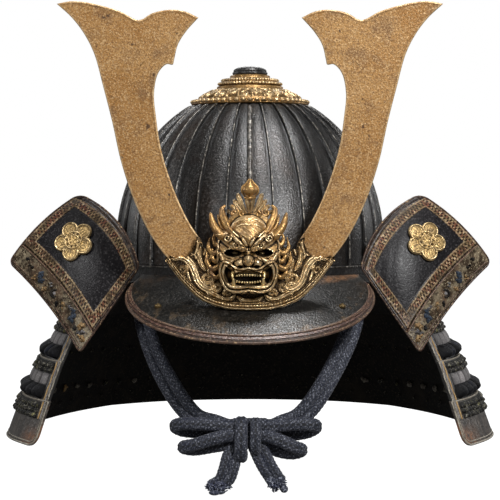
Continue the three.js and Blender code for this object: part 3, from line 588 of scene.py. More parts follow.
# Pale and brown grains over larger clouds of orange and dark brown, with a few dark spots.
mottled = stained(
    0.6,
    (22.0, 5.0, 0.43, 0.62, 0.75, (0.36, 0.165, 0.04)),
    (60.0, 6.0, 0.52, 0.66, 0.7, (0.21, 0.11, 0.05)),
    (700.0, 3.0, 0.5, 0.66, 0.65, (0.82, 0.56, 0.29)),
    (820.0, 3.0, 0.5, 0.64, 0.65, (0.16, 0.08, 0.03)),
    (130.0, 2.0, 0.68, 0.72, 0.8, (0.06, 0.03, 0.018)),
)
# Old iron: brown stains, pale grains and dark pits.
pitted = stained(
    0.65,
    (30.0, 6.0, 0.46, 0.62, 0.8, (0.019, 0.0105, 0.006)),
    (430.0, 3.0, 0.52, 0.66, 0.7, (0.085, 0.08, 0.076)),
    (560.0, 3.0, 0.52, 0.62, 0.85, (0.006, 0.005, 0.0045)),
)


def printed_border(tree, colour):
    """The turnbacks: a plaited strip of reddish and cream leather round the field, and a grey-brown band below."""
    edge, along, margin, place = own(tree, "edge"), own(tree, "along"), own(tree, "tone"), place_of(tree)
    times = lambda a, b: maths(tree, "MULTIPLY", a, b)
    less = lambda a, b: maths(tree, "SUBTRACT", a, b)
    wave = lambda value, pace: maths(tree, "SINE", times(value, pace))
    noise = lambda scale: clouds(tree, place, scale, detail=4.0)
    soiled = lambda under, tint, scale, low, high, share=1.0, detail=4.0: stain(
        tree, place, under, tint, scale, low, high, share, detail)
    near_line = lambda at, half: ramp(tree, maths(tree, "ABSOLUTE", less(edge, at)), half, half * 0.4)

    plait = times(wave(along, 2.1), wave(less(edge, 1.8), 1.26))
    plait = maths(tree, "ADD", plait, times(less(noise(330.0), 0.5), 1.6))
    tint = soiled((0.13, 0.046, 0.028), (0.13, 0.09, 0.042), 150.0, 0.42, 0.56)
    tint = soiled(tint, (0.5, 0.37, 0.22), 480.0, 0.52, 0.62)
    strip = blend(tree, ramp(tree, plait, -0.05, 0.35), tint, (0.014, 0.008, 0.005))
    lines = maths(tree, "MAXIMUM", near_line(1.2, 0.6), near_line(7.4, 0.5))
    strip = blend(tree, times(lines, ramp(tree, noise(210.0), 0.4, 0.5)), strip, (0.27, 0.2, 0.115))
    strip = soiled(strip, (0.03, 0.018, 0.011), 75.0, 0.48, 0.62, 0.7)
    field = blend(tree, ramp(tree, edge, 8.3, 7.9), colour, strip)
    seam = times(ramp(tree, edge, 0.5, 0.2), ramp(tree, edge, -0.4, 0.0))
    field = blend(tree, seam, field, (0.006, 0.0045, 0.004))
    field = blend(tree, margin, field, soiled((0.014, 0.008, 0.006), (0.1, 0.064, 0.04), 260.0, 0.5, 0.68))
    band = soiled((0.034, 0.023, 0.014), (0.18, 0.145, 0.095), 120.0, 0.46, 0.56, detail=6.0)
    band = soiled(band, (0.1, 0.064, 0.04), 45.0, 0.5, 0.6)
    band = soiled(band, (0.38, 0.31, 0.2), 620.0, 0.56, 0.66)
    band = soiled(band, (0.022, 0.014, 0.01), 190.0, 0.56, 0.64, 0.85)
    band = blend(tree, ramp(tree, edge, -1.3, -0.6), band, (0.005, 0.004, 0.003))
    return blend(tree, ramp(tree, edge, -0.3, -0.6), field, band)


def make_finishes():
    """Every finish: name, base, specks, painted shade colour for hollows, worn colour (partly a painted highlight),
    how metallic, how rough, then its specks and patches.
    """
    speckle_group()
    patch_group()
    return {
        "iron": finish("Dark iron", (0.01, 0.009, 0.0085), (0.042, 0.038, 0.035), (0.001, 0.001, 0.001),
                       (0.6, 0.55, 0.47), 0.3, 0.37, (620, 0.4), bump=0.65, tone=0.5, rough_worn=0.36,
                       worn_share=0.62, paint=pitted, shine=0.9),
        "lining": finish("Dark lining", (0.006, 0.005, 0.0042), (0.042, 0.034, 0.025), (0.001, 0.001, 0.001),
                         (0.05, 0.04, 0.03), 0.0, 0.7, (420, 0.4), (0.024, 0.018, 0.012), (35, 0.45, 0.2), 0.5,
                         shine=0.2),
        "gilt": finish("Aged gilt", (0.4, 0.235, 0.085), (0.16, 0.085, 0.034), (0.008, 0.0045, 0.002),
                       (0.95, 0.74, 0.44), 0.75, 0.38, (620, 0.46), (0.14, 0.078, 0.045), (85, 0.45, 0.2), 0.5,
                       tone=0.12, rough_worn=0.27, worn_share=1.0),
        "flower_gilt": finish("Dull olive gilt", (0.4, 0.265, 0.1), (0.16, 0.1, 0.038), (0.012, 0.008, 0.004),
                              (0.85, 0.63, 0.33), 0.65, 0.38, (600, 0.46), (0.13, 0.085, 0.04), (120, 0.48, 0.2), 0.5,
                              rough_worn=0.32),
        "bronze": finish("Horn gilt", (0.52, 0.285, 0.1), (0.3, 0.155, 0.055), (0.05, 0.024, 0.01),
                         (0.85, 0.62, 0.34), 0.4, 0.46, (620, 0.5), bump=0.4, rough_worn=0.42, paint=mottled),
        "brim_leather": finish("Brim lacquer", (0.0045, 0.004, 0.003), (0.025, 0.021, 0.016), (0.002, 0.0015, 0.0015),
                               (0.2, 0.095, 0.038), 0.1, 0.38, (520, 0.42), (0.022, 0.014, 0.007), (60, 0.3, 0.16),
                               0.6, paint=edge_band, shine=0.8),
        "piping": finish("Brown piping", (0.045, 0.02, 0.011), (0.38, 0.255, 0.135), (0.012, 0.007, 0.005),
                         (0.2, 0.12, 0.08), 0.1, 0.45, (520, 0.34), (0.03, 0.017, 0.011), (140, 0.45, 0.1), 0.4),
        "smoked_leather": finish("Smoked leather", (0.0085, 0.0075, 0.0085), (0.05, 0.046, 0.048),
                                 (0.002, 0.0015, 0.0015), (0.12, 0.09, 0.06), 0.0, 0.36, (620, 0.36), bump=0.26,
                                 paint=printed_border, shine=0.2),
        "lacquer": finish("Lacquered plate", (0.012, 0.011, 0.01), (0.035, 0.032, 0.029), (0.002, 0.002, 0.002),
                          (0.17, 0.155, 0.13), 0.1, 0.4, (800, 0.4), (0.03, 0.026, 0.024), (50, 0.4, 0.2), 0.25,
                          coat=0.2),
        "grey_lace": finish("Faded lacing", (0.115, 0.104, 0.102), (0.26, 0.245, 0.24), (0.006, 0.0055, 0.006),
                            (0.36, 0.34, 0.33), 0.0, 0.7, (800, 0.45), (0.07, 0.062, 0.066), (110, 0.45, 0.2), 0.5,
                            tone=0.45, sheen=0.1),
        "dark_lace": finish("Dark lacing", (0.0045, 0.0045, 0.0055), (0.04, 0.041, 0.046), (0.0015, 0.0015, 0.002),
                            (0.2, 0.19, 0.17), 0.0, 0.6, (850, 0.32), (0.009, 0.011, 0.022), (70, 0.45, 0.2), 0.6,
                            tone=0.8, shine=0.15),
        "knot_lace": finish("Speckled knots", (0.009, 0.008, 0.007), (0.3, 0.28, 0.22), (0.002, 0.002, 0.0015),
                            (0.3, 0.27, 0.19), 0.0, 0.6, (620, 0.34), (0.13, 0.12, 0.045), (240, 0.3, 0.08), 0.8,
                            tone=0.6, shine=0.25),
        "rim": finish("Worn rim", (0.12, 0.105, 0.082), (0.32, 0.29, 0.235), (0.02, 0.016, 0.012), (0.45, 0.4, 0.32),
                      0.1, 0.5, (800, 0.5), (0.06, 0.045, 0.032), (160, 0.42, 0.15), 0.3),
        "blue_lace": finish("Blue lacing", (0.009, 0.02, 0.042), (0.035, 0.07, 0.11), (0.003, 0.005, 0.009),
                            (0.1, 0.16, 0.22), 0.0, 0.8, (900, 0.45), bump=0.6, tone=0.3, sheen=0.1),
        "ochre_lace": finish("Ochre lacing", (0.27, 0.15, 0.05), (0.48, 0.35, 0.16), (0.03, 0.015, 0.006),
                             (0.6, 0.45, 0.22), 0.0, 0.7, (800, 0.45), bump=0.5),
        "plain_plate": finish("Bare lower plate", (0.045, 0.037, 0.031), (0.12, 0.106, 0.093), (0.012, 0.009, 0.007),
                              (0.3, 0.13, 0.055), 0.1, 0.42, (420, 0.45), (0.03, 0.02, 0.014), (50, 0.5, 0.2), 0.5,
                              tone=0.6),
        "cord": finish("Braided cord", (0.022, 0.028, 0.054), (0.44, 0.46, 0.54), (0.002, 0.0025, 0.005),
                       (0.2, 0.22, 0.26), 0.0, 0.65, (780, 0.46), (0.014, 0.02, 0.075), (45, 0.36, 0.25), 0.8,
                       sheen=0.1),
        "ivory": finish("Teeth and eyes", (0.5, 0.37, 0.17), (0.34, 0.22, 0.09), (0.03, 0.016, 0.006),
                        (0.85, 0.7, 0.42), 0.6, 0.3, (900, 0.4)),
    }


MADE = {}


def finish_of(name):
    """The finish of that name, with all of them made at the first call."""
    if not MADE:
        MADE.update(make_finishes())
    return MADE[name]


# ---- chin cord ----
# Each strand: its side, where it leaves the band in degrees from the front, its lane at the knot and its way down.
STRANDS = {
    "left_outer": (-1, 68.5, -1, [(97, -54, -26), (90, -74, -56), (74, -94, -92), (55, -102, -119),
                                  (33, -104, -134)]),
    "left_inner": (-1, 56, 1, [(88, -73, -30), (80, -90, -62), (62, -102, -95), (48.4, -104, -114.2),
                               (41, -104.3, -120.8), (28, -104.5, -124.6)]),
    "right_outer": (1, 68.5, -1, [(96, -56, -28), (87, -76, -58), (69, -95, -92), (52, -102, -117),
                                  (31, -104, -133)]),
    "right_inner": (1, 56, 1, [(87, -74, -32), (75, -91, -64), (59, -102, -93), (45.4, -104, -112.6),
                               (37, -104.3, -120.4), (26, -104.5, -124.6)]),
}
# The knot's loops: how thick beside a strand, and the way round from the knot.
LOOPS = [
    (1.12, [(-5, -2, 8), (-20, -4, 8.2), (-38, -5, 10.0), (-56, -4.6, 10.2), (-62, 1.5, 7.4), (-56, 6.6, 3.4),
            (-38, 7, 2), (-20, 5, 3), (-6, 3, 4)]),
    (1.16, [(5, -2, 8), (20, -4, 8.4), (35, -5, 9.8), (49, -4.6, 9.8), (54.8, 1.5, 7.2), (49, 6.6, 2.6), (34, 7, 0),
            (20, 5, 1), (6, 3, 3)]),
    (1.1, [(-5, -5, 0.6), (-16, -7, 1), (-30, -8, -1.8), (-46, -7, -6.9), (-55.4, -1.5, -9.6), (-47, 3, -12),
           (-32, 3.4, -10), (-18, 2.4, -7.4), (-6, 1, -4)]),
    (1.12, [(5, -5, 0.6), (14, -7, 0.2), (25, -8, -3.2), (36, -7, -8.4), (43, -1.5, -12), (36, 3, -15),
            (26, 3.4, -14), (15, 2.4, -10), (6, 1, -5)]),
]
# The knot's tails: the way down, how far its two strands stand apart, and the place and size of the frayed end.
TAILS = [
    ([(-6, -1, -4), (-14, -4, -15), (-17.5, -5, -27), (-21, -4.5, -36), (-27, -3.5, -40)], 4.1, (-26.5, -4, -41.2),
     (10, 7, 4.8)),
    ([(4, -1, -3), (8.6, -4, -14), (14, -5, -25), (19, -4.5, -33), (21.6, -4, -37)], 4.0, (22, -4.2, -38.2),
     (7, 6.4, 6.6)),
]


def strand_points(name):
    """The way of a strand from inside the band to the knot."""
    side, angle, lane, hang = STRANDS[name]
    a = math.radians(angle)
    wall = np.array([BOWL_WIDE * math.sin(a), -BOWL_WIDE * (1 + BOWL_LONG) * math.cos(a), -4.6])
    inward = np.array([-math.sin(a) * (1 + BOWL_LONG), math.cos(a), 0])
    inward /= np.linalg.norm(inward)
    z = KNOT[2] + 3 + lane * 4.95
    points = [wall + inward, wall + inward * 7 - (0, 0, 0.6), *hang, (18, -104.5, z), (12.3, -104.5, z)]
    return [np.array(p) * (side, 1, 1) for p in points]


def frayed(centre, size):
    """The frayed end of a cord: a lumpy tuft of loose threads about its centre."""
    rng = np.random.default_rng(int(abs(centre[0]) * 10))
    parts = []
    for i in range(9):
        way = rng.normal(size=3) * (0.5, 0.4, 0.42) * np.array(size)
        lump = ball(centre + way, 1.0, 14, 10, tuple(np.array(size) * rng.uniform(0.38, 0.55)))
        # The lumps at a tuft's core carry a faint painted shade.
        mark(lump, worn=0.0, deep=0.25, tone=rng.uniform())
        parts.append(lump)
    for i in range(110):
        way = rng.normal(size=3) * (1, 0.8, 0.9) - (0, 0.25, 0.25)
        way /= np.linalg.norm(way)
        root = centre + way * np.array(size) * 0.6
        tip = centre + way * np.array(size) * rng.uniform(0.92, 1.14) + rng.normal(size=3) * 1.0
        bend = rng.normal(size=3) * 1.1
        parts.append(tube([root, (root + tip) / 2 + bend, tip], [1.0, 0.85, 0.4], 5, 3, tone=rng.uniform()))
    return parts


def bow_mesh(radius):
    """The knot of the chin cord: four loops, two pairs of frayed tails and the bar that ties them."""
    at = lambda points, aside=0.0: [np.add(KNOT, p) + (aside, 0, 0) for p in points]
    bar = lambda points, thick, lobes, **facing: tube(points, radius * thick, 26, 0.95, 0.5, 8, lobes=lobes, **facing)
    parts = [bar(at(points), thick, 0.16, across=(0, 0, 1)) for thick, points in LOOPS]
    for points, lanes, blob, size in TAILS:
        parts += [bar(at(points, lane), 0.92, 0.16, upright=(0, -1, 0)) for lane in (-lanes, lanes)]
        parts += frayed(np.add(KNOT, blob), size)
    for x, high, low, thick in ((-7.2, 12.6, -18.2, 1.14), (4.6, 12.2, -13.2, 0.98)):
        points = [(x, 3, high - 4), (x, -5.5, high - 0.6), (x, -10.5, high * 0.55), (x, -12, 0),
                  (x - 0.3, -10.5, low * 0.55), (x - 0.3, -5.5, low + 0.6), (x, 3, low + 4)]
        parts.append(bar(at(points), thick, 0.22, across=(1, 0, 0)))
    parts.append(tube([(-13, -104.5, -133), (13, -104.5, -133)], 10.4, 40, 0.95, 0.5, 16))
    return gather(*parts)


class CordSettings(bpy.types.PropertyGroup):
    diameter: bpy.props.FloatProperty(name="Diameter", description="Thickness of one strand of the chin cord",
                                      default=0.0096, min=0.004, max=0.02, unit="LENGTH")
    relief: bpy.props.FloatProperty(name="Plait relief", description="How far the plait stands out on a strand",
                                    default=0.0005, min=0.0, max=0.002, unit="LENGTH")


class KABUTO_OT_cord(bpy.types.Operator):
    """Make the chin cord: two braided strands on each side, tied in a bow in front of the chin"""

    bl_idname = "kabuto.cord"
    bl_label = "Chin Cord"
    bl_options = {"REGISTER", "UNDO"}

    def execute(self, context):
        s = context.scene.kabuto_cord
        radius = s.diameter / 2 / MM
        silk = finish_of("cord")
        bow = piece("chin cord bow", bow_mesh(radius), silk, ["chin_cord_bow"])
        for name in STRANDS:
            points = strand_points(name)
            line = through(points, 40)
            strand = piece("chin cord " + name.replace("_", " "), tube(points, radius, 28, 0.95, s.relief / MM, 8),
                           silk, ["chin_cord_" + name])
        return {"FINISHED"}


# ---- bowl and crown ----
# Over one plate, from rib to rib: how far off the rib, or which share of the way to the next, and how tall.
RIB_SPOTS = [(-1.9, 0, 0.0), (-1.05, 0, 0.03), (-0.62, 0, 0.85), (-0.3, 0, 1.0), (0.3, 0, 1.0), (0.62, 0, 0.85),
             (1.05, 0, 0.03), (1.9, 0, 0), (0, 0.2, 0), (0, 0.36, 0), (0, 0.5, 0), (0, 0.64, 0), (0, 0.8, 0)]
# The ribs beside the front one stand this much nearer to it, in radians.
FRONT_RIBS = 0.026
BAND_PROFILE = [(2.4, 3.6), (3.1, 2.9), (2.5, 2.0), (2.4, 1), (2.4, -8), (2.4, -11.4), (3.1, -12.6), (2.7, -13.8),
                (1, -14), (0.05, -13.6), (0.0, -5), (0.1, 3.4), (1.2, 3.7), (2.4, 3.6)]
# Radius and height of the crown's three turned parts.
DOME_PROFILE = [(8, 156.6), (20, 155), (28, 152.4), (44, 144.6), (50.4, 141.6), (51.6, 142.2), (51.6, 143.4),
                (49.4, 144.2), (48.6, 145.8), (46.6, 146.2), (44.4, 148.3), (41, 150.6), (36, 153.2), (31.6, 155.4),
                (29.6, 156.6), (28.9, 158.2), (27, 158.9), (8, 158.9), (8, 156.6)]
COLLAR_PROFILE = [(8, 159.4), (27, 159.4), (28.6, 160), (28.8, 160.9), (28, 161.8), (26, 162.2), (25, 162.6),
                  (25.7, 163.3), (25.6, 164.4), (24.6, 165.0), (20, 165.3), (18.6, 165.8), (17.6, 166.8),
                  (17.5, 167.9), (8, 167.9), (8, 159.4)]
CAP_PROFILE = [(0.02, 168.4), (13.6, 168.4), (15.1, 168.9), (15.5, 170), (15.3, 171), (14.5, 171.4), (14.7, 172.4),
               (13.3, 174), (10.6, 175.4), (6.4, 176.3), (0.02, 176.5)]
BEAD_RING, BEAD_Z, BEAD = 50.1, 144.6, 2.7
SCROLL_REPEATS, SCROLL_RING = 12, 38


def plate_angle(k, plates):
    """Where rib k stands, in radians from the front."""
    t = 2 * math.pi * k / plates
    return t - 0.004 * math.sin(2 * t)


class BowlSettings(bpy.types.PropertyGroup):
    plates: bpy.props.IntProperty(name="Plates", description="Number of iron plates, and so of ribs", default=32,
                                  min=8, max=72)
    rib: bpy.props.FloatProperty(name="Rib height", description="How far a rib stands out from the plates",
                                 default=0.0024, min=0.0005, max=0.005, unit="LENGTH")
    swell: bpy.props.FloatProperty(name="Plate swell", description="How far the middle of a plate bulges out",
                                   default=0.0007, min=0.0, max=0.003, unit="LENGTH")


class KABUTO_OT_bowl(bpy.types.Operator):
    """Make the ribbed bowl, its lining, the band below it and the rod up its front"""

    bl_idname = "kabuto.bowl"
    bl_label = "Bowl"
    bl_options = {"REGISTER", "UNDO"}

    def execute(self, context):
        s = context.scene.kabuto_bowl
        rib, swell = s.rib / MM, s.swell / MM
        centres = np.array([plate_angle(k, s.plates) for k in range(s.plates + 1)])
        centres[1] -= FRONT_RIBS
        centres[-2] += FRONT_RIBS
        per, shades = len(RIB_SPOTS), np.random.default_rng(5).uniform(0, 1, s.plates + 1)
        lifts = np.concatenate([np.linspace(-1, 0, 7), np.linspace(0, 1, 60)[1:]])

        def outside(u, v):
            i = np.rint(u * per * s.plates).astype(int)
            k, part = i // per, i % per
            lift = lifts[np.rint(v * (len(lifts) - 1)).astype(int)]
            share = np.cos(np.maximum(0, lift) * math.pi / 2)
            nxt = np.minimum(k + 1, s.plates)
            gap = np.where(k < s.plates, centres[nxt] - centres[k], 1)
            off, across, tall = np.array(RIB_SPOTS)[part].T
            reach = off / (BOWL_WIDE * np.maximum(share, 0.14))
            angle = centres[k] + np.where(across > 0, across * gap, reach)
            ribbed = k % s.plates != 0
            fade = step(0.4, 0.47, share) * ribbed
            bulge = swell * np.sin(math.pi * np.clip(across, 0, 1)) * step(0.3, 0.5, share)
            point = bowl_point(angle, lift, tall * rib * fade + bulge)
            # Painted shadow at the foot and flanks of each rib and on the plate beside it; the rib tops are lightened
            # as wear and partly as a painted highlight.
            foot = np.where(np.abs(off) > 0.9, np.where(np.abs(off) < 1.3, 0.95, 0.8), 0) * (across == 0) * ribbed
            flank = 0.6 * (tall > 0.1) * (tall < 0.95)
            beside = 1.6 * np.clip(np.abs(across - 0.5) - 0.12, 0, 1) * (across > 0)
            deep = np.maximum.reduce([foot, flank, beside]) * step(0.36, 0.45, share)
            return point, {"worn": step(0.9, 1, tall) * fade, "deep": deep,
                           "tone": shades[np.minimum(k, s.plates - 1)]}

        outer = grid(per * s.plates, len(lifts) - 1, outside, joined=True, toward="out")
        inside = lambda u, v: bowl_point(2 * math.pi * u, mix(-1, 1, v), -BOWL_WALL)
        inner = grid(96, 34, inside, joined=True, toward="out")
        bmesh.ops.reverse_faces(inner, faces=inner.faces[:])
        rim = lambda u, v: bowl_point(2 * math.pi * u, -1.0 + 0 * v, -BOWL_WALL * v)
        edge = grid(96, 1, rim, joined=True, toward=(0, 0, -1))
        piece("bowl", gather((outer, 0), (inner, 1), (edge, 0)), [finish_of("iron"), finish_of("lining")],
              ["bowl"], 32)

        rows, rivets = 60, 24
        stands = through(BAND_PROFILE, rows + 1)

        def band(u, v):
            stand, z = stands[np.rint(v * rows).astype(int)].T
            return oval_point(2 * math.pi * u, stand, z), {"worn": step(2.7, 3, stand) * 0.8}

        # The brim hides the band's front, so no rivets stand there.
        turns = [a for a in (2 * math.pi * (k + 0.5) / rivets for k in range(rivets)) if math.cos(a) < 0.55]
        heads = [ball(oval_point(a, 2.5, -4.5), 1.9, 10, 6, tone=0.4) for a in turns]
        piece("bowl band", gather(grid(160, rows, band, joined=True), *heads), finish_of("iron"),
              ["bowl_band"])

        points = [bowl_point(0.0, lift, 2.6) for lift in np.linspace(0.66, 0.2, 9)]
        rod = tube(points, [1.7, 2.0, 2.0, 2.0, 2.0, 1.9, 1.7, 1.2], 14, 1.5)
        # The rod is lightened as rubbed iron and partly as a painted highlight along it.
        mark(rod, worn=0.95)
        foot = ball(bowl_point(0.0, 0.2, 1.6), 3.0, 16, 8, (1, 1, 1.2))
        piece("front rod", gather(rod, foot), finish_of("iron"), ["front_spine"])
        return {"FINISHED"}


class CrownSettings(bpy.types.PropertyGroup):
    beads: bpy.props.IntProperty(name="Beads", description="Number of beads round the foot of the crown fitting",
                                 default=54, min=12, max=160)
    lobes: bpy.props.IntProperty(name="Lobes", description="Number of lobes round the two collar rows", default=58,
                                 min=8, max=96)


class KABUTO_OT_crown(bpy.types.Operator):
    """Make the crown fitting: chased dome, beaded ring, lobed collar and cap"""

    bl_idname = "kabuto.crown"
    bl_label = "Crown Fitting"
    bl_options = {"REGISTER", "UNDO"}

    def execute(self, context):
        s = context.scene.kabuto_crown
        pitch = 2 * math.pi * SCROLL_RING / SCROLL_REPEATS
        stem = [(0, 3), (pitch * 0.24, 12), (pitch * 0.55, 3.4), (pitch * 0.8, 5), (pitch, 3)]
        lines = [spiral(pitch * 0.3, 6.0, 4.4, 1.5, 0.4), spiral(pitch * 0.76, 11.4, 3.8, -1.4, 2.0),
                 through(stem, 20), np.array([(pitch * 0.5, 9), (pitch * 0.56, 15)]),
                 np.array([(pitch * 0.04, 8), (pitch * 0.1, 15.4)])]
        lines = [line + (shift, 0) for shift in (0, pitch, -pitch) for line in lines]

        def chased(a, v, r, z):
            across = (a / (2 * math.pi) * SCROLL_REPEATS % 1) * pitch
            d = near(across, r - 30, lines)
            inside = step(29.5, 31.5, r) * step(48.5, 47, r) * step(147, 147.6, z)
            h = ridge(d, 0.95) * inside
            stipple = 0.3 * np.sin(a * 150) * np.sin(r * 3.6)
            # Painted shade, with some real patina, in the stippled ground between the chased lines; the chased lines
            # are lightened as wear and partly as a painted highlight.
            deep = inside * (1 - np.clip(h * 2.2, 0, 1)) * (0.55 - stipple)
            return h * 0.5, h * 1.1 + stipple * inside * (1 - h), {"worn": h * 0.6, "deep": deep}

        turns = [2 * math.pi * i / s.beads for i in range(s.beads)]
        beads = [ball((BEAD_RING * math.sin(a), -BEAD_RING * math.cos(a), BEAD_Z), BEAD, 12, 7, (1, 1, 0.75))
                 for a in turns]
        piece("crown base", gather(spun(DOME_PROFILE, 360, chased), *beads), finish_of("gilt"),
              ["crown_base"])

        def lobed(a, v, r, z):
            lower = step(159.2, 159.8, z) * step(162, 161.4, z) * step(24, 27, r)
            rows = lower + step(162.2, 162.8, z) * step(165.1, 164.5, z) * step(21, 23.5, r)
            wave = np.abs(np.cos(s.lobes / 2 * a + (z > 162) * 1.57))
            # Painted shade in the gaps between lobes; the lobes' crests are lightened as wear and partly as a painted
            # highlight.
            return rows * (wave ** 0.6 - 1) * 1.5, 0 * r, {"worn": rows * wave * 0.8, "deep": rows * (1 - wave) ** 2}

        piece("crown collar", spun(COLLAR_PROFILE, 320, lobed), finish_of("gilt"), ["crown_collar"])
        piece("crown cap", spun(CAP_PROFILE, 96), finish_of("iron"), ["crown_cap"])
        return {"FINISHED"}


# ---- brim ----
class BrimSettings(bpy.types.PropertyGroup):
    wall: bpy.props.FloatProperty(name="Thickness", description="Thickness of the brim", default=0.0025, min=0.001,
                                  max=0.006, unit="LENGTH")
    piping: bpy.props.FloatProperty(name="Piping", description="Radius of the piping along the brim's edge",
                                    default=0.0012, min=0.0005, max=0.004, unit="LENGTH")


class KABUTO_OT_brim(bpy.types.Operator):
    """Make the brim with its double piped edge and rivets"""

    bl_idname = "kabuto.brim"
    bl_label = "Brim"
    bl_options = {"REGISTER", "UNDO"}

    def execute(self, context):
        s = context.scene.kabuto_brim
        wall, roll = s.wall / MM, s.piping / MM

        def top(u, v):
            p = brim_point(u, v)
            p[:, 2] += 0.25 * wobble(u * 9, v * 5, seed=3) * step(0, 0.1, v) * step(1, 0.9, v)
            rust = 0.8 * step(0.2, 0.09, v) * step(0.7, 0.76, u)
            rubbed = 0.1 * step(0.35, 0.9, wobble(u * 12, v * 4, seed=1))
            width = BRIM_REACH * np.maximum(0, 1 - (2 * u - 1) ** 2) ** 0.6 + END_REACH
            return p, {"worn": np.maximum(rubbed, rust), "edge": (1 - v) * width}

        # The underside's edge mark is that of a place well inside, so it has no strip.
        under = lambda u, v: (brim_point(u, v, wall), {"edge": 50 + 0 * u})
        close = lambda out: lambda u, v: brim_point(u, out + 0 * u, wall * v)
        sheet = gather(grid(180, 36, top, toward=(0, -1, 1)), grid(90, 12, under, toward=(0, 1, -1)),
                       grid(180, 2, close(1), toward=(0, -1, -1)), grid(180, 1, close(0), toward=(0, 1, 0)))
        bmesh.ops.remove_doubles(sheet, verts=sheet.verts, dist=MERGE)
        piece("brim", sheet, finish_of("brim_leather"), ["brim"])
        u = np.linspace(0.01, 0.99, 90)
        outward = brim_point(u, 1.0) - brim_point(u, 0.9)
        outward /= np.linalg.norm(outward, axis=1, keepdims=True)
        edge = tube(brim_point(u, 1.0, wall / 2) + outward * (roll + wall / 2 + 0.3), roll, 12, 1.6)
        inner = tube(brim_point(u, 0.945) + (0, -0.2, 0.3), roll * 0.5, 10, 1.6)
        welt = tube(brim_point(u, 1.0, wall / 2) + outward * 0.9, 1.1, 10, 1.6)
        mark(edge, worn=0.35)
        mark(inner, worn=0.35)
        # The welt between the brim's edge and its piping carries painted shade.
        mark(welt, deep=0.6)
        piece("brim edge", gather(edge, inner, welt), finish_of("piping"), ["brim_edge"])
        across = (1 + 29.5 / BRIM_SPREAD) / 2
        for side, name in reversed(SIDES):
            place = brim_point(np.array([across]), np.array([0.68]))[0] * (side, 1, 1) + (0, -0.3, 0.5)
            head = gather(ball(place, 3.0, 24, 12, (1, 0.8, 0.7)), ball(place + (0, -0.8, 1.2), 1.3, 12, 8))
            mark(head, worn=0.0, deep=0.7)
            piece("brim rivet " + name, head, finish_of("flower_gilt"), ["brim_rivet_" + name])
        return {"FINISHED"}


# ---- crest ----
# The crest base's right half: across, then the heights of its upper and lower edges.
CREST_EDGE = [(0, 40, -29.5), (13, 40, -29), (20, 34, -28), (27, 20, -26.2), (36, 18, -22.6), (39, 20, -20.6),
              (42, 28, -18.5), (45, 17.5, -15.6), (50, 13, -10.6), (56, 11.6, -4), (66, 11.2, 9)]
# Its scrolls as smooth lines of across, height and half width, and as curls.
RIBBONS = [
    [(63, 9, 1.2), (58, 11.6, 2.2), (52.5, 11.2, 3.0), (47.5, 7.0, 3.4), (44.2, 0.6, 3.2), (42, -6, 3.0),
     (37.5, -11.4, 3.0), (31, -13.6, 2.6), (26.6, -10.6, 1.2)],
    [(38.5, 22, 0.8), (40.6, 14, 2.0), (39.0, 7, 2.2), (36, 2.6, 1.6)],
    [(33, -15.6, 2.0), (27.5, -18.6, 2.6), (21, -21.6, 2.6), (14.5, -20.4, 2.0), (12, -17.4, 1.0)],
    [(24, 17, 1.0), (29.5, 14, 2.0), (33.4, 8.4, 2.2), (33, 3, 1.4)],
    [(0, -22.6, 2.4), (5.5, -22, 2.2), (9.6, -19, 1.2)],
]
RIBBON_CURLS = [(34.2, -4.4, 5.4, 1.35, 1.9, 0.2, 2.1), (26.4, -11.4, 4.4, -1.3, 0.6, 0.2, 1.8),
                (53.6, 2.4, 3.6, 1.1, 2.4, 0.25, 1.5), (17.4, -15.8, 3.4, 1.3, -0.4, 0.2, 1.4)]
# Its small leaves between the scrolls.
SPRIGS = [
    [(37.4, 34, 0.3), (38.6, 28, 1.4), (40.2, 23, 1.1)],
    [(42.4, 27, 0.3), (41.6, 22, 1.2), (43.4, 15, 1.0)],
    [(36, 27, 0.3), (35, 20, 1.3), (36.6, 14, 0.9)],
    [(47.4, 13.2, 0.3), (44.6, 14.2, 1.0), (43, 11, 0.8)],
    [(50, 1.6, 0.8), (49, -3.4, 1.3), (46.4, -8.4, 0.3)],
    [(28, 2, 0.4), (29.6, -3, 1.2), (28.6, -7, 0.8)],
    [(40.4, -14.4, 0.3), (37, -16.8, 1.1), (33.6, -18.4, 0.5)],
    [(10.2, -24, 0.4), (14, -25.4, 1.0), (19, -25.2, 0.3)],
    [(58, 5.6, 0.4), (61, 3.6, 1.1), (63.6, 5.4, 0.3)],
]


def crest_edges(x):
    """The heights of the crest base's lower and upper edges there."""
    across, upper, lower = np.array(CREST_EDGE, float).T
    lower, upper = np.interp(np.abs(x), across, lower), np.interp(np.abs(x), across, upper)
    return lower, np.maximum(upper, lower + 2)


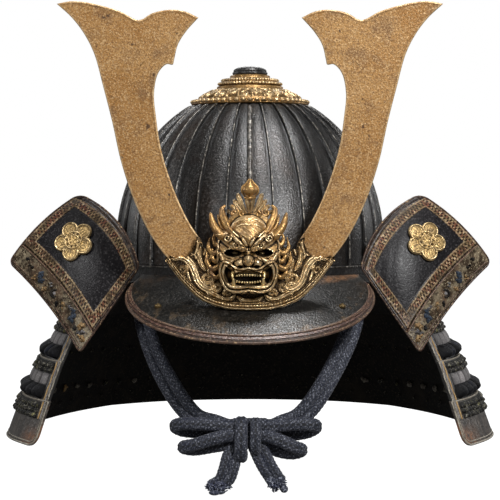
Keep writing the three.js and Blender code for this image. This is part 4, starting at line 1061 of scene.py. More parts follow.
def crest_mesh(steps):
    """The crest base with its scrolls, sprigs, beaded border and stippled ground."""
    ribbons = [through(r, 18) for r in RIBBONS] + [spiral(*c) for c in RIBBON_CURLS]
    sprigs = [through(s, 7) for s in SPRIGS]

    def front(u, v):
        x = mix(-66, 66, u)
        lower, upper = crest_edges(x)
        z = mix(lower, upper, v)
        a = np.abs(x)
        d = near(a, z, ribbons)
        sprig = near(a, z, sprigs)
        grooves = 2.5 + 0.6 * np.cos(d * 2 * math.pi * 1.25)
        rib = ridge(d, 1.0) ** 0.7 * grooves * (0.55 + 0.45 * step(0, 0.4, 1 - d))
        leaf = ridge(sprig, 1.0) * 1.7
        border = z - lower
        beads = ridge(np.abs(border - 3.0), 1.2) * (0.5 + 0.5 * np.abs(np.sin(x * 1.35)))
        lip = np.maximum(ridge(np.abs(border - 0.7), 0.75), ridge(np.abs(border - 5.0), 0.5) * 0.7)
        dots = np.clip(np.sin(x * 2.6 + z) * np.sin(z * 2.8 - x * 0.6), 0, 1) ** 0.7
        stipple = 0.55 * dots + 0.25 * wobble(x * 1.7, z * 1.9, seed=6)
        edge = step(5.6, 6.6, border)
        h = np.maximum.reduce([rib * edge, leaf * edge, beads * 1.7, lip * 1.6, np.maximum(stipple, 0)])
        # Painted shade in the hollows and the grooves of the scrolls; raised relief is lightened as wear and partly as
        # a painted highlight.
        hollow = np.clip(1 - h / 1.5, 0, 1) + 0.8 * np.clip(-np.cos(d * 2 * math.pi * 1.25), 0, 1) * (d < 0.9) * edge
        worn = np.clip(h / 2.6 - hollow * 0.6, 0, 1)
        return xyz(x, crest_depth(x, z) - 1.2 - h, z), {"worn": worn, "deep": np.clip(hollow, 0, 1)}

    return grid(steps, 130, front, wall=2.2, toward=(0, -1, 0))


def socket_mesh():
    """The two blocks behind the crest base that hold the horns' feet."""

    def face(side, back):
        def place(u, v):
            x, z = mix(42, 58, u), mix(-4, 9, v)
            y = np.maximum(horn_depth(z) - 2.5, crest_depth(x, z) + 1.4) if back else crest_depth(x, z) + 1
            return xyz(side * x, y, z)

        return grid(2, 2, place, toward=(0, 1 if back else -1, 0))

    whole = gather(*[face(side, back) for side in (-1, 1) for back in (True, False)])
    for side in (-1, 1):
        bmesh.ops.bridge_loops(whole, edges=[e for e in whole.edges if e.is_boundary and e.verts[0].co.x * side > 0])
    return whole
# The mask's outline: height and half width.
MASK_HALF = [(-17, 13), (-14, 18.5), (-8, 22.5), (0, 24.5), (8, 25.5), (16, 26), (24, 25.5), (32, 23), (38, 18.5),
             (44, 15.5), (48, 12)]


# Raised lines of the mask's face: how proud, then each line's points (across, up, half width) and steps along it.
MASK_RIDGES = [
    (1.9, [([(1.6, 18.6, 1.2), (2.4, 23, 1.5), (4.6, 27.4, 1.0)], 8),
           ([(8, 28.6, 0.8), (13, 32.6, 1.3), (17, 37.4, 1.0)], 8)]),
    (2.0, [([(19.6, 14.6, 0.8), (15.4, 12.9, 1.3), (10.6, 13.2, 1.2), (7.0, 15.2, 0.8)], 10)]),
    (3.8, [([(22.6, 15.6, 1.3), (20.4, 11.6, 2.4), (15.4, 9.0, 2.6), (11.6, 11.0, 1.6), (8.2, 12.4, 1.2)], 12)]),
    (4.6, [([(0, 0.9, 1.5), (5.0, 0.3, 1.5), (10.4, 1.0, 1.5), (15.2, 4.6, 1.4), (18.6, 6.6, 1.2)], 14),
           ([(18.8, 6.2, 1.2), (20.0, 1.4, 1.5), (18.6, -4.6, 1.6), (14.8, -10.4, 1.6), (8.4, -11.2, 1.6),
             (0, -10.2, 1.6)], 18)]),
    (3.0, [([(0, 4.0, 1.0), (6, 3.2, 1.1), (11, 4.6, 1.1), (15.6, 8.0, 1.1), (20.0, 8.6, 1.1), (22.6, 3.6, 1.2),
             (21.6, -4.0, 1.3), (17.4, -12.4, 1.4), (9.4, -14.6, 1.4), (0, -13.4, 1.4)], 30)]),
    (1.6, [([(2, -15, 1.0), (5, -16.6, 0.9)], 5), ([(7, -15.4, 1.0), (12, -15.6, 0.9)], 5)]),
    (2.0, [([(24.6, 6, 0.8), (24.8, 0, 1.0), (22.4, -7, 0.8)], 8),
           ([(25, 19, 0.7), (24.2, 13, 1.1), (25, 8, 0.7)], 8),
           ([(22.4, 27.4, 0.7), (24.2, 23.4, 1.0), (24, 19, 0.6)], 8)]),
    (0.45, [([(2.4, 41.4, 0.5), (7, 42.4, 0.8), (11.4, 39.6, 0.5)], 8),
            ([(0, 38.2, 0.5), (5, 38.8, 0.7), (9.4, 36.6, 0.4)], 8)]),
]
BROW = [(22.6, 31.6, 3.2), (18.4, 29.2, 4.9), (13.0, 24.8, 5.2), (8.4, 21.4, 4.4), (4.8, 19.4, 2.8)]
BROW_CURLS = [(16.6, 27.6, 3.4, 1.3, 2.4, 0.2, 0.9), (9.2, 22.0, 2.8, -1.2, 0.4, 0.2, 0.8),
              (21.2, 30.6, 2.0, 1.1, 3.0, 0.2, 0.7)]


def mask_proud(x, z):
    """How far the ogre's face stands out, with its hollows."""
    a = np.abs(x)
    apart = lambda cx, cz, wide, tall: ((a - cx) / wide) ** 2 + ((z - cz) / tall) ** 2
    bump = lambda cx, cz, wide, tall, proud: proud * np.exp(-apart(cx, cz, wide, tall))
    lump = lambda cx, cz, wide, tall, proud: proud * np.sqrt(np.clip(1 - apart(cx, cz, wide, tall), 0, 1))
    h = 3 + lump(0, 12, 30, 38, 8) + lump(0, 33.5, 14.6, 12.5, 8.0) + bump(0, 26, 6, 6, 2.0)
    brow = near(a, z, [through(BROW, 14)])
    curl = ridge(near(a, z, [spiral(*c) for c in BROW_CURLS]), 1.0)
    h = h + ridge(brow, 1.0) ** 0.7 * (6.4 + 0.5 * np.sin(a * 0.9 + z * 0.7)) + (curl * 1.5 - 0.5) * ridge(brow, 1.0)
    for proud, lines in MASK_RIDGES:
        h = h + ridge(near(a, z, [through(points, count) for points, count in lines]), 1.0) * proud
    eye = lump(12.4, 15.8, 7.0, 3.2, 7.6) + bump(6.4, 16.2, 2.4, 2.0, 2.4)
    cheek = bump(18.5, 5.6, 4.6, 4.4, 2.6)
    nose = bump(0, 15.4, 3.0, 6, 4.6) + lump(0, 9.8, 4.5, 4.4, 7.6) + lump(7.2, 8.4, 4.2, 3.8, 5.0)
    nostril = lump(6.6, 5.0, 2.4, 1.5, 4.2) + bump(3.7, 8.6, 0.6, 2.6, 1.2)
    bridge = near(x, z, [[(-3, 17.2), (3, 17.2)], [(-2.6, 19.2), (2.6, 19.2)]])
    h = h - eye + cheek + nose - nostril + ridge(bridge, 0.8) * 1.3
    inside = np.clip(1 - apart(0, -4.4, 15.6, 6.4), 0, 1) + np.clip(1 - apart(15, -1, 4.6, 7.2), 0, 1) * 0.8
    h = h - 10.5 * np.clip(inside, 0, 1) ** 0.4
    groove = near(a, z, [through([(0, -8.6), (8.4, -9.4), (13.4, -8.8)], 8)])
    h = h - 1.6 * np.exp(-((groove - 3.9) / 0.5) ** 2) * (z < -10)
    return np.maximum(1.4, h + 0.12 * wobble(x * 1.3, z * 1.4, seed=9))


def mask_back(x, z):
    """How far back the mask's flat back lies."""
    return crest_depth(x, z) - 1.2 - 0.45


# The mask's locks of hair, its curled collar and the frill beside it: across, height and radius.
LOCKS = [[(21.6, 23, 2.0), (25.6, 22, 1.9), (27.8, 26.4, 1.4), (26.2, 32.6, 0.3)],
         [(22.8, 17.6, 2.3), (28.0, 15.4, 2.0), (31.8, 19.6, 1.5), (30.6, 28.0, 0.3)],
         [(22.4, 11.6, 1.8), (26.4, 9.0, 1.9), (29.2, 13.4, 1.4), (28.6, 19.4, 0.3)],
         [(22.8, 5.4, 2.4), (28.8, 3.0, 2.1), (33.0, 8.2, 1.5), (33.4, 17.0, 0.3)],
         [(21.2, -0.6, 1.6), (25.6, -3.6, 1.8), (29.4, -0.6, 1.5), (31.0, 5.0, 0.3)]]
COLLAR = [(11.6, 31.0, 1.6), (15.8, 34.6, 2.5), (18.6, 40.4, 3.1), (20.6, 46.0, 3.0), (21.0, 50.6, 2.2),
          (18.4, 53.4, 0.9)]
FRILL = [(16.4, 31.4, 1.1), (21.0, 36.0, 1.6), (23.4, 41.4, 1.4), (24.4, 46.0, 0.4)]


def mask_spot(u, v):
    """Across and height of a place on the mask's face."""
    z = mix(-17, 48, v)
    height, half = np.array(MASK_HALF, float).T
    return np.interp(z, height, half) * (2 * u - 1), z


def mask_mesh():
    """The ogre mask: its face, horns, eyes, fangs, teeth and locks."""
    around = lambda x, z, d: sum(mask_proud(x + dx, z + dz) for dx, dz in ((d, 0), (-d, 0), (0, d), (0, -d))) / 4

    def front(u, v):
        x, z = mask_spot(u, v)
        rim = np.minimum(np.minimum(u, 1 - u) * 40, np.minimum(v, 1 - v) * 60)
        h = mask_proud(x, z)
        bend, low = h - around(x, z, 0.9), h - around(x, z, 2.6)
        socket = np.clip(1.2 - ((np.abs(x) - 12.2) / 6.8) ** 2 - ((z - 16.2) / 2.3) ** 2, 0, 1)
        mouth = np.clip(1.1 - (x / 15.6) ** 2 - ((z + 4.4) / 6.2) ** 2, 0, 1) * 2
        h = mix(0.3, h, step(0, 1, rim) ** 0.5)
        # Convex places are lightened as rubbed gilt and partly as a painted highlight; concave places, the eye sockets
        # and the mouth carry painted shade.
        worn = np.clip(bend * 2.2 + low * 0.22, 0, 1)
        deep = np.clip(-bend * 2.0 - low * 0.45 + socket + mouth, 0, 1)
        return xyz(x, mask_back(x, z) - h, z), {"worn": worn, "deep": deep}

    def back(u, v):
        x, z = mask_spot(u, v)
        return xyz(x, mask_back(x, z), z)

    proud = lambda x, z: float(mask_back(x, z) - mask_proud(np.array([x]), np.array([z]))[0])
    strip = lambda points, off, side: [(side * x, mask_back(x, z) - o, z) for (x, z, _), o in zip(points, off)]
    bar = lambda points, off, side, sides, lobes: tube(strip(points, off, side), [r for _, _, r in points], sides,
                                                       0.8, lobes=lobes, upright=(0, -1, 0))
    foot, tip = np.array([20.4, proud(20, 29) + 3.0, 28.4]), np.array([30.4, mask_back(30, 48) - 8, 48.0])
    parts = [grid(190, 220, front, toward=(0, -1, 0)), grid(8, 10, back, toward=(0, 1, 0))]
    for side in (-1, 1):
        other = (side, 1, 1)
        parts.append(spike(foot * other, tip * other, 3.5, 18, bend=(side * 1.6, -1.6, -1.6), rows=24))
        for i in range(5):
            t = 0.16 + i * 0.13
            ring = (mix(foot, tip, t) + (1.3, -1.2, -1.2)) * other
            parts.append(ball(ring, 3.5 * (1 - t) ** 0.55 + 0.25, 14, 8, (1.02, 1.02, 0.3)))
        eye = (side * 10.6, proud(10.6, 15.8) + 0.4, 15.7)
        parts.append((ball(eye, 2.1, 16, 10, (1.2, 0.8, 0.6)), 1))
        for x, z0, z1, r in ((12.4, 0.6, -4.6, 1.4), (11.6, -9.6, -3.8, 1.5)):
            fang = (side * x, mask_back(x, z0) - 9.4, z0), (side * (x + 0.3), mask_back(x, z1) - 11.6, z1)
            parts.append((spike(*fang, r, 12), 1))
        for z, tall, rise in ((-1.6, 2.3, -0.025), (-7.4, 2.1, 0.05)):
            for i in range(5):
                x = side * (1.05 + i * 2.05)
                tooth = (x, mask_back(abs(x), z) - 9.6 + 0.1 * i * i, z + rise * i * i)
                parts.append((ball(tooth, 0.9, 8, 6, (1.08, 1.2, tall / 1.9)), 1))
        for i, lock in enumerate(LOCKS):
            parts.append(bar(lock, [5.2 - 0.27 * i * (j < 2) - 0.5 * j for j in range(4)], side, 16, 0.22))
        parts.append(bar(COLLAR, np.linspace(13.5, 7.0, 6), side, 22, 0.4))
        parts.append(bar(FRILL, np.linspace(10.6, 6.4, 4), side, 14, 0.25))
    return gather(*parts)


def leaf_mesh(x0, z0, x1, z1, half, lift, bend=0.0):
    """One rounded leaf with a midrib, from its foot to its tip, standing off the crest."""
    run = np.array([x1 - x0, z1 - z0], float)
    length = np.linalg.norm(run)
    run /= length
    cross = np.array([run[1], -run[0]])

    def front(u, v):
        s = 2 * u - 1
        rounding = np.sqrt(np.clip(1 - np.clip((v - 0.72) / 0.28, 0, 1) ** 2, 0, 1))
        wide = half * (0.3 + 0.7 * step(0, 0.75, v)) * rounding + 0.05
        curve = bend * np.sin(math.pi * v * 0.8)
        x = x0 + run[0] * v * length + cross[0] * (s * wide + curve)
        z = z0 + run[1] * v * length + cross[1] * (s * wide + curve)
        dome = np.sqrt(np.clip(1 - s * s, 0, 1))
        groove = lambda wide: np.exp(-((np.abs(s) - 0.42) / wide) ** 2)
        h = lift * (0.35 + 1.0 * v - 0.45 * v * v) + 1.9 * dome - 0.75 * groove(0.13) * step(0.02, 0.3, v)
        # The leaf's dome and tip are lightened as wear and partly as a painted highlight; its grooves and edges carry
        # painted shade.
        worn = np.clip(dome - 0.1 + 0.3 * step(0.6, 1, v), 0, 1)
        deep = np.clip(groove(0.15) * 0.8 + step(0.84, 1, np.abs(s)), 0, 1)
        return xyz(x, crest_depth(x, z) - 1.4 - h, z), {"worn": worn, "deep": deep}

    return grid(18, 22, front, wall=1.2, toward=(0, -1, 0))


def palmette_mesh():
    """The palmette: ten leaves, the bud in its hood and two pairs of curls."""
    off = lambda points, away: [(x, crest_depth(x, z) - away, z) for x, z in points]
    leaves = [(2.6, 60.6, 1.7, 7.6), (9.0, 62.2, 2.1, 6.8), (11.8, 57.4, 2.0, 5.4), (14.2, 53.4, 1.9, 4.2),
              (17.0, 49.4, 1.9, 3.0)]
    parts = [leaf_mesh(side * x * 0.16, 45.6 - 0.05 * x, side * x, z, half, lift, side * 1.1 * (x > 4))
             for x, z, half, lift in leaves for side in (-1, 1)]
    bud = [(0, z) for z in (60.4, 62, 64, 66, 68, 70, 71.6, 73, 74.6)]
    parts.append(tube(off(bud, 6.6), [1.6, 4.0, 5.5, 5.9, 5.2, 3.7, 2.0, 1.0, 0.3], 28, 0.6))
    collar = crest_depth(0, 60)
    parts.append(tube([(-4.2, collar - 8.4, 59.6), (0, collar - 10.8, 59.0), (4.2, collar - 8.4, 59.6)],
                      [0.8, 1.3, 0.8], 10, 0.7))
    for side in (-1, 1):
        hood = [(side * x, z) for x, z in ((0.7, 74.6), (2.7, 71.4), (5.9, 67.8), (6.3, 64.2), (3.6, 60.2))]
        parts.append(tube(off(hood, 5.2), [0.4, 0.9, 1.1, 0.9, 0.5], 12, 0.7))
        curl = spiral(side * 12.6, 47.6, 3.6, side * 1.3, 1.9 if side > 0 else 1.25)
        parts.append(tube(off(curl, 5.4), [1.6, 1.5, 0.9], 12, 0.7))
        curl = spiral(side * 6.4, 46.4, 2.4, -side * 1.1, 1.6)
        parts.append(tube(off(curl, 7.4), [1.2, 1.1, 0.7], 10, 0.7))
    return gather(*parts)


class CrestSettings(bpy.types.PropertyGroup):
    fine: bpy.props.IntProperty(name="Relief detail", description="Steps across the crest base's relief", default=376,
                                min=100, max=800)


class KABUTO_OT_crest(bpy.types.Operator):
    """Make the crest base with its scrolls, the ogre mask and the palmette above it"""

    bl_idname = "kabuto.crest"
    bl_label = "Crest"
    bl_options = {"REGISTER", "UNDO"}

    def execute(self, context):
        gilt = finish_of("gilt")
        base = gather(crest_mesh(context.scene.kabuto_crest.fine), socket_mesh())
        piece("crest base", seated(base), gilt, ["crest_base"], 60)
        piece("crest mask", seated(mask_mesh(), -1.2), [gilt, finish_of("ivory")], ["crest_mask"], 60)
        piece("crest palmette", seated(palmette_mesh()), gilt, ["crest_palmette"], 60)
        return {"FINISHED"}


# ---- horns ----
# The right horn's edges, from its foot up and along its top: across and height.
HORN_OUTER = [(55, 3), (65, 10), (78, 27), (92, 55), (103, 88), (110, 120), (117, 148), (124, 174), (132, 190),
              (142, 203), (153.5, 213.5)]
HORN_TOP = [(41, 202.6), (52, 207.6), (64, 208.8), (78, 206), (88, 200.5), (103, 207.5), (116, 211.5), (129, 214.5),
            (142, 215.5), (153.5, 213.5)]
HORN_INNER = [(37, 10), (38, 22), (49, 40), (61, 66), (71, 98), (75, 124), (76.5, 143), (73, 159), (66.5, 165.8),
              (61.5, 165.5), (60.5, 169), (57.5, 181), (51, 191.5), (41, 202.6)]


def horn_mesh(side, wall):
    """A horn, flat with softened edges; side is 1 for the right one."""
    outer, top, inner = through(HORN_OUTER, 200), through(HORN_TOP, 120), through(HORN_INNER, 260)
    root = np.array([HORN_INNER[0], HORN_OUTER[0]], float)
    at = lambda line, t: np.stack([np.interp(t, np.linspace(0, 1, len(line)), line[:, i]) for i in (0, 1)], 1)
    close = lambda t: 0.5 - 0.5 * np.cos(math.pi * t)

    def plate(back):
        def place(u, v):
            u, v = close(u), mix(v, close(v), 0.5)
            U, V = u[:, None], v[:, None]
            p = at(inner, v) * (1 - U) + at(outer, v) * U + at(root, u) * (1 - V) + at(top, u) * V
            p -= root[0] * (1 - U) * (1 - V) + root[1] * U * (1 - V) + inner[-1] * (1 - U) * V + outer[-1] * U * V
            d = near(p[:, 0], p[:, 1], [inner, outer, top])
            thick = wall / 2 * (0.35 + 0.65 * ridge(1 - np.clip(d, 0, 1), 1)) + 0.14 * ridge(np.abs(d - 1.0), 0.8)
            y = horn_depth(p[:, 1]) - wall / 2 + (thick if back else -thick)
            # A faint painted shadow just inside the raised line along the horn's edge.
            return xyz(p[:, 0], y, p[:, 1]), {"worn": step(1.5, 0.8, d) * 0.7,
                                              "deep": 0.2 * np.exp(-((d - 1.9) / 0.7) ** 2)}

        return grid(44, 230, place, toward=(0, 1 if back else -1, 0))

    whole = gather(plate(False), plate(True))
    close_edge(whole)
    return mirrored(whole) if side < 0 else whole


class HornSettings(bpy.types.PropertyGroup):
    wall: bpy.props.FloatProperty(name="Thickness", description="Thickness of the horn plates", default=0.0022,
                                  min=0.001, max=0.005, unit="LENGTH")


class KABUTO_OT_horns(bpy.types.Operator):
    """Make the two flat forked horns"""

    bl_idname = "kabuto.horns"
    bl_label = "Horns"
    bl_options = {"REGISTER", "UNDO"}

    def execute(self, context):
        wall = context.scene.kabuto_horns.wall / MM
        for side, name in reversed(SIDES):
            piece("horn " + name, seated(horn_mesh(side, wall)), finish_of("bronze"), ["horn_" + name])
        return {"FINISHED"}


# ---- turnbacks ----
def turn_spot(x, z):
    """Where on the left turnback a point seen from the front lies."""
    u = v = np.array([0.5])
    best, span = (0.5, 0.5), 0.5
    for _ in range(10):
        grid_u, grid_v = (np.clip(c + np.linspace(-span, span, 9), 0, 1) for c in best)
        u, v = (a.ravel() for a in np.meshgrid(grid_u, grid_v))
        p = turn_point(u, v)
        i = np.argmin((p[:, 0] - x) ** 2 + (p[:, 2] - z) ** 2)
        best, span = (u[i], v[i]), span * 0.5
    return best


TURN_SIZE, BAND_SHARE, TURN_ROUND = (95.0, 78.0), 0.235, 6.5
# Knots of worn lacing on the band: where they lie, their size and the number of their finish.
TURN_BITS = [(0.31, 0.13, 2.1, 3), (0.33, 0.1, 1.6, 3), (0.76, 0.125, 2.3, 3), (0.74, 0.16, 1.6, 3),
             (0.4, 0.07, 1.3, 4), (0.43, 0.14, 0.9, 5), (0.63, 0.12, 1.3, 4), (0.87, 0.15, 2.0, 4),
             (0.93, 0.09, 1.8, 4), (0.9, 0.12, 1.4, 5), (0.2, 0.12, 1.1, 2), (0.56, 0.07, 1.2, 2),
             (0.7, 0.17, 1.1, 5), (0.12, 0.15, 1.2, 2), (0.83, 0.07, 1.3, 2), (0.26, 0.06, 1.0, 4)]


def turn_edges(u, v):
    """On a turnback laid flat: distances in millimetres from its sides and from the line between field and band."""
    wide, tall = TURN_SIZE
    return u * wide, (1 - u) * wide - 2.6, (1 - v) * tall - 3.6, (v - BAND_SHARE) * tall


def rounded(u, v, radius):
    """Draws in the corners of the unit square so that they're round, by radius in millimetres."""
    for left, low, r in ((True, True, radius * 0.7), (True, False, radius), (False, True, radius * 0.45),
                         (False, False, radius * 0.5)):
        wide, tall = r / TURN_SIZE[0], r / TURN_SIZE[1]
        du = np.clip((wide - u if left else u - (1 - wide)) / wide, 0, 1)
        dv = np.clip((tall - v if low else v - (1 - tall)) / tall, 0, 1)
        share = np.where((du > 0) & (dv > 0), np.maximum(du, dv) / np.maximum(np.hypot(du, dv), 1e-9), 1.0)
        back_u, back_v = du * (1 - share) * wide, dv * (1 - share) * tall
        u, v = u + (back_u if left else -back_u), v + (back_v if low else -back_v)
    return u, v


def turnback_mesh(side):
    """One turnback; side is -1 for the left one."""

    def face(front):
        def place(u, v):
            a, b, c, d = turn_edges(u, v)
            out = np.minimum(np.minimum(u, 1 - u) * TURN_SIZE[0], np.minimum(v, 1 - v) * TURN_SIZE[1])
            thick = TURN_WALL / 2 * (0.5 + 0.5 * ridge(1 - np.clip(out / 1.4, 0, 1), 1))
            field = np.minimum.reduce([np.abs(a), np.abs(b), np.abs(c), np.abs(d)])
            margin = np.maximum(step(0.3, -0.3, b), step(0.3, -0.3, c)) * (d > 0)
            lift = 0.55 * step(8.2, 7.4, field) * (1 - margin) * (d > 0) - 0.9 * np.exp(-(d / 0.7) ** 2)
            lift += 0.35 * ridge(np.abs(field - 1.2), 0.7) + 0.3 * ridge(np.abs(field - 7.4), 0.7)
            lift = lift * step(0.2, 1.2, out) + 0.35 * wobble(u * 7, v * 6, seed=2) * step(0, 12, out)
            lift += margin * 0.5 * step(0, 1.4, out) * ridge(np.abs(out - 1.4), 1.2)
            p = turn_point(*rounded(u, v, TURN_ROUND), thick + lift * 0.7 if front else -thick)
            if not front:
                return p, {"edge": 30.0, "deep": 0.3}
            band = -np.minimum(-d, np.minimum(v * TURN_SIZE[1], 40.0))
            upright = np.minimum(np.abs(a), np.abs(b)) < np.minimum(np.abs(c), np.abs(d))
            along = np.where(upright, v * TURN_SIZE[1], u * TURN_SIZE[0])
            return p, {"edge": np.where(d < 0, band, field), "tone": margin, "along": along}

        return grid(140, 120, place, toward=(0, -1 if front else 1, 0))

    whole = gather(face(True), face(False))
    close_edge(whole)
    t = np.linspace(0, 1, 30)
    one, zero = np.ones_like(t), np.zeros_like(t)
    at = lambda u, v: turn_point(*rounded(u, v, TURN_ROUND), 0.6)
    loop = np.vstack([at(t, zero)[:-1], at(one, t)[:-1], at(t[::-1], one)[:-1], at(zero, t[::-1])])
    piping = tube(loop, 1.0, 8, 1.5)
    line = tube(turn_point(mix(0.01, 0.99, t), (BAND_SHARE - 0.016) * one, 1.5), 0.55, 8, 1.6)
    rim = tube(turn_point(mix(0.03, 0.97, t), 0.035 * one, 1.3), 0.5, 8, 1.6)
    mark(line, worn=0.9)
    mark(rim, worn=0.5)
    bits = []
    rng = np.random.default_rng(12)
    for u, v, size, kind in TURN_BITS:
        for i in range(5):
            spot = np.array([u + rng.normal() * 0.011]), np.array([v + rng.normal() * 0.013])
            p = turn_point(*spot, 1.3 + rng.uniform(0, 0.7))[0]
            way = rng.normal(size=3) * (1, 0.15, 1)
            way *= size / np.linalg.norm(way)
            thick = [0.55 * size, 0.75 * size, 0.5 * size]
            bits.append((tube([p - way, p + (0, -0.7, 0), p + way], thick, 8, 0.8, 0.12, 6, tone=rng.uniform()),
                         kind))
    ring = turn_point(np.array([0.5]), np.array([0.118]), 1.5)[0]
    turn = [ring + (3.1 * math.cos(a), -0.4, 3.1 * math.sin(a)) for a in np.linspace(0, 2 * math.pi, 15)]
    bits.append((tube(turn, 1.0, 8, 0.9), 2))
    bits.append((ball(ring, 1.7, 12, 8, (1, 0.6, 1)), 5))
    made = gather((whole, 0), (piping, 1), (line, 1), (rim, 1), *bits)
    return mirrored(made) if side > 0 else made


def flower_mesh(side, petals):
    """A turnback's flower; side is -1 for the left one."""
    u, v = (np.array([c]) for c in turn_spot(-147.4, 23.6))
    d = 0.01
    n = np.cross((turn_point(u + d, v) - turn_point(u - d, v))[0], (turn_point(u, v + d) - turn_point(u, v - d))[0])
    n /= np.linalg.norm(n) * np.sign(-n[1])
    centre = turn_point(u, v, TURN_WALL / 2)[0] + n * 0.9
    turn = np.array(Vector((0, 0, 1)).rotation_difference(Vector(n)).to_matrix())
    away, half = 10.5, 7.6

    def outline(across, out):
        """Out to the edge of five round petals that touch; turned so that one points down and to the left."""
        a = 2 * math.pi * across
        t = (a - math.radians(99) + math.pi / petals) % (2 * math.pi / petals) - math.pi / petals
        r = out * (away * np.cos(t) + np.sqrt(np.maximum(half ** 2 - (away * np.sin(t)) ** 2, 0.2)))
        return a, r, np.hypot(r * np.cos(t) - away, r * np.sin(t)), t

    def front(across, out):
        a, r, from_petal, t = outline(across, out)
        petal = np.clip(1 - (from_petal / half) ** 2, 0, 1)
        h = 0.9 + 1.1 * np.sqrt(petal) + ridge(np.abs(from_petal - 6.7), 0.8) * 0.8
        vein = np.exp(-(np.sin(t * 14) / 0.25) ** 2) * step(7.5, 9, r) * step(14.5, 12, r)
        h = h - vein * 0.25
        eye = step(8.2, 7.8, r)
        dots = np.clip(np.cos(a * 9), 0, 1) * ridge(np.abs(r - 6.1), 0.9)
        rings = ridge(np.abs(r - 7.5), 0.6) * 0.8 + ridge(np.abs(r - 4.4), 0.55) * 0.7
        middle = 2.4 + rings - dots + np.clip(np.cos(a * 5), 0, 1) * ridge(np.abs(r - 2.6), 1.1) * 0.7
        h = (h * (1 - eye) + middle * eye) * step(1.0, 0.95, out)
        p = xyz(r * np.cos(a), r * np.sin(a), np.maximum(h, 0.1)) @ turn.T + centre
        # Painted shade in the grooves between petals, the dots, the veins and round the eye; petal rims and the eye's
        # rings are lightened as wear and partly as a painted highlight.
        groove = np.exp(-((from_petal - 5.7) / 0.5) ** 2) * 0.7
        gap = (np.clip((from_petal - 7.1) / 0.6, 0, 1) + groove) * (1 - eye)
        worn = ridge(np.abs(from_petal - 6.7), 0.8) * (1 - eye) + 0.12
        worn += eye * (ridge(np.abs(r - 7.5), 0.7) + ridge(np.abs(r - 4.4), 0.6))
        deep = gap + dots * 0.9 + vein * 0.4 + eye * np.exp(-((r - 5.2) / 0.5) ** 2) * 0.5
        return p, {"worn": np.clip(worn, 0, 1), "deep": np.clip(deep, 0, 1)}

    def back(across, out):
        a, r, _, _ = outline(across, out)
        return xyz(r * np.cos(a), r * np.sin(a), 0.0) @ turn.T + centre

    made = gather(grid(200, 44, front, joined=True, toward=tuple(n)),
                  grid(60, 1, back, joined=True, toward=tuple(-n)))
    return mirrored(made) if side > 0 else made


class TurnbackSettings(bpy.types.PropertyGroup):
    petals: bpy.props.IntProperty(name="Petals", description="Petals of the flower on each turnback", default=5,
                                  min=3, max=12)


class KABUTO_OT_turnbacks(bpy.types.Operator):
    """Make the two turnbacks with their printed border, lacing knots and gilt flowers"""

    bl_idname = "kabuto.turnbacks"
    bl_label = "Turnbacks"
    bl_options = {"REGISTER", "UNDO"}

    def execute(self, context):
        petals = context.scene.kabuto_turnbacks.petals
        finishes = [finish_of(name) for name in ("smoked_leather", "piping", "lining", "blue_lace", "ochre_lace",
                                                 "grey_lace")]
        for side, name in SIDES:
            piece("turnback " + name, turnback_mesh(side), finishes, ["turnback_" + name])
            piece("turnback flower " + name, flower_mesh(side, petals), finish_of("flower_gilt"),
                  ["turnback_flower_" + name])
        return {"FINISHED"}


# ---- neck guard ----
def lame_at(k, along, down, off=0.0):
    """A point on any lame."""
    return top_lame_point(along, down, off) if k == 0 else lame_point(k, along, down, off)


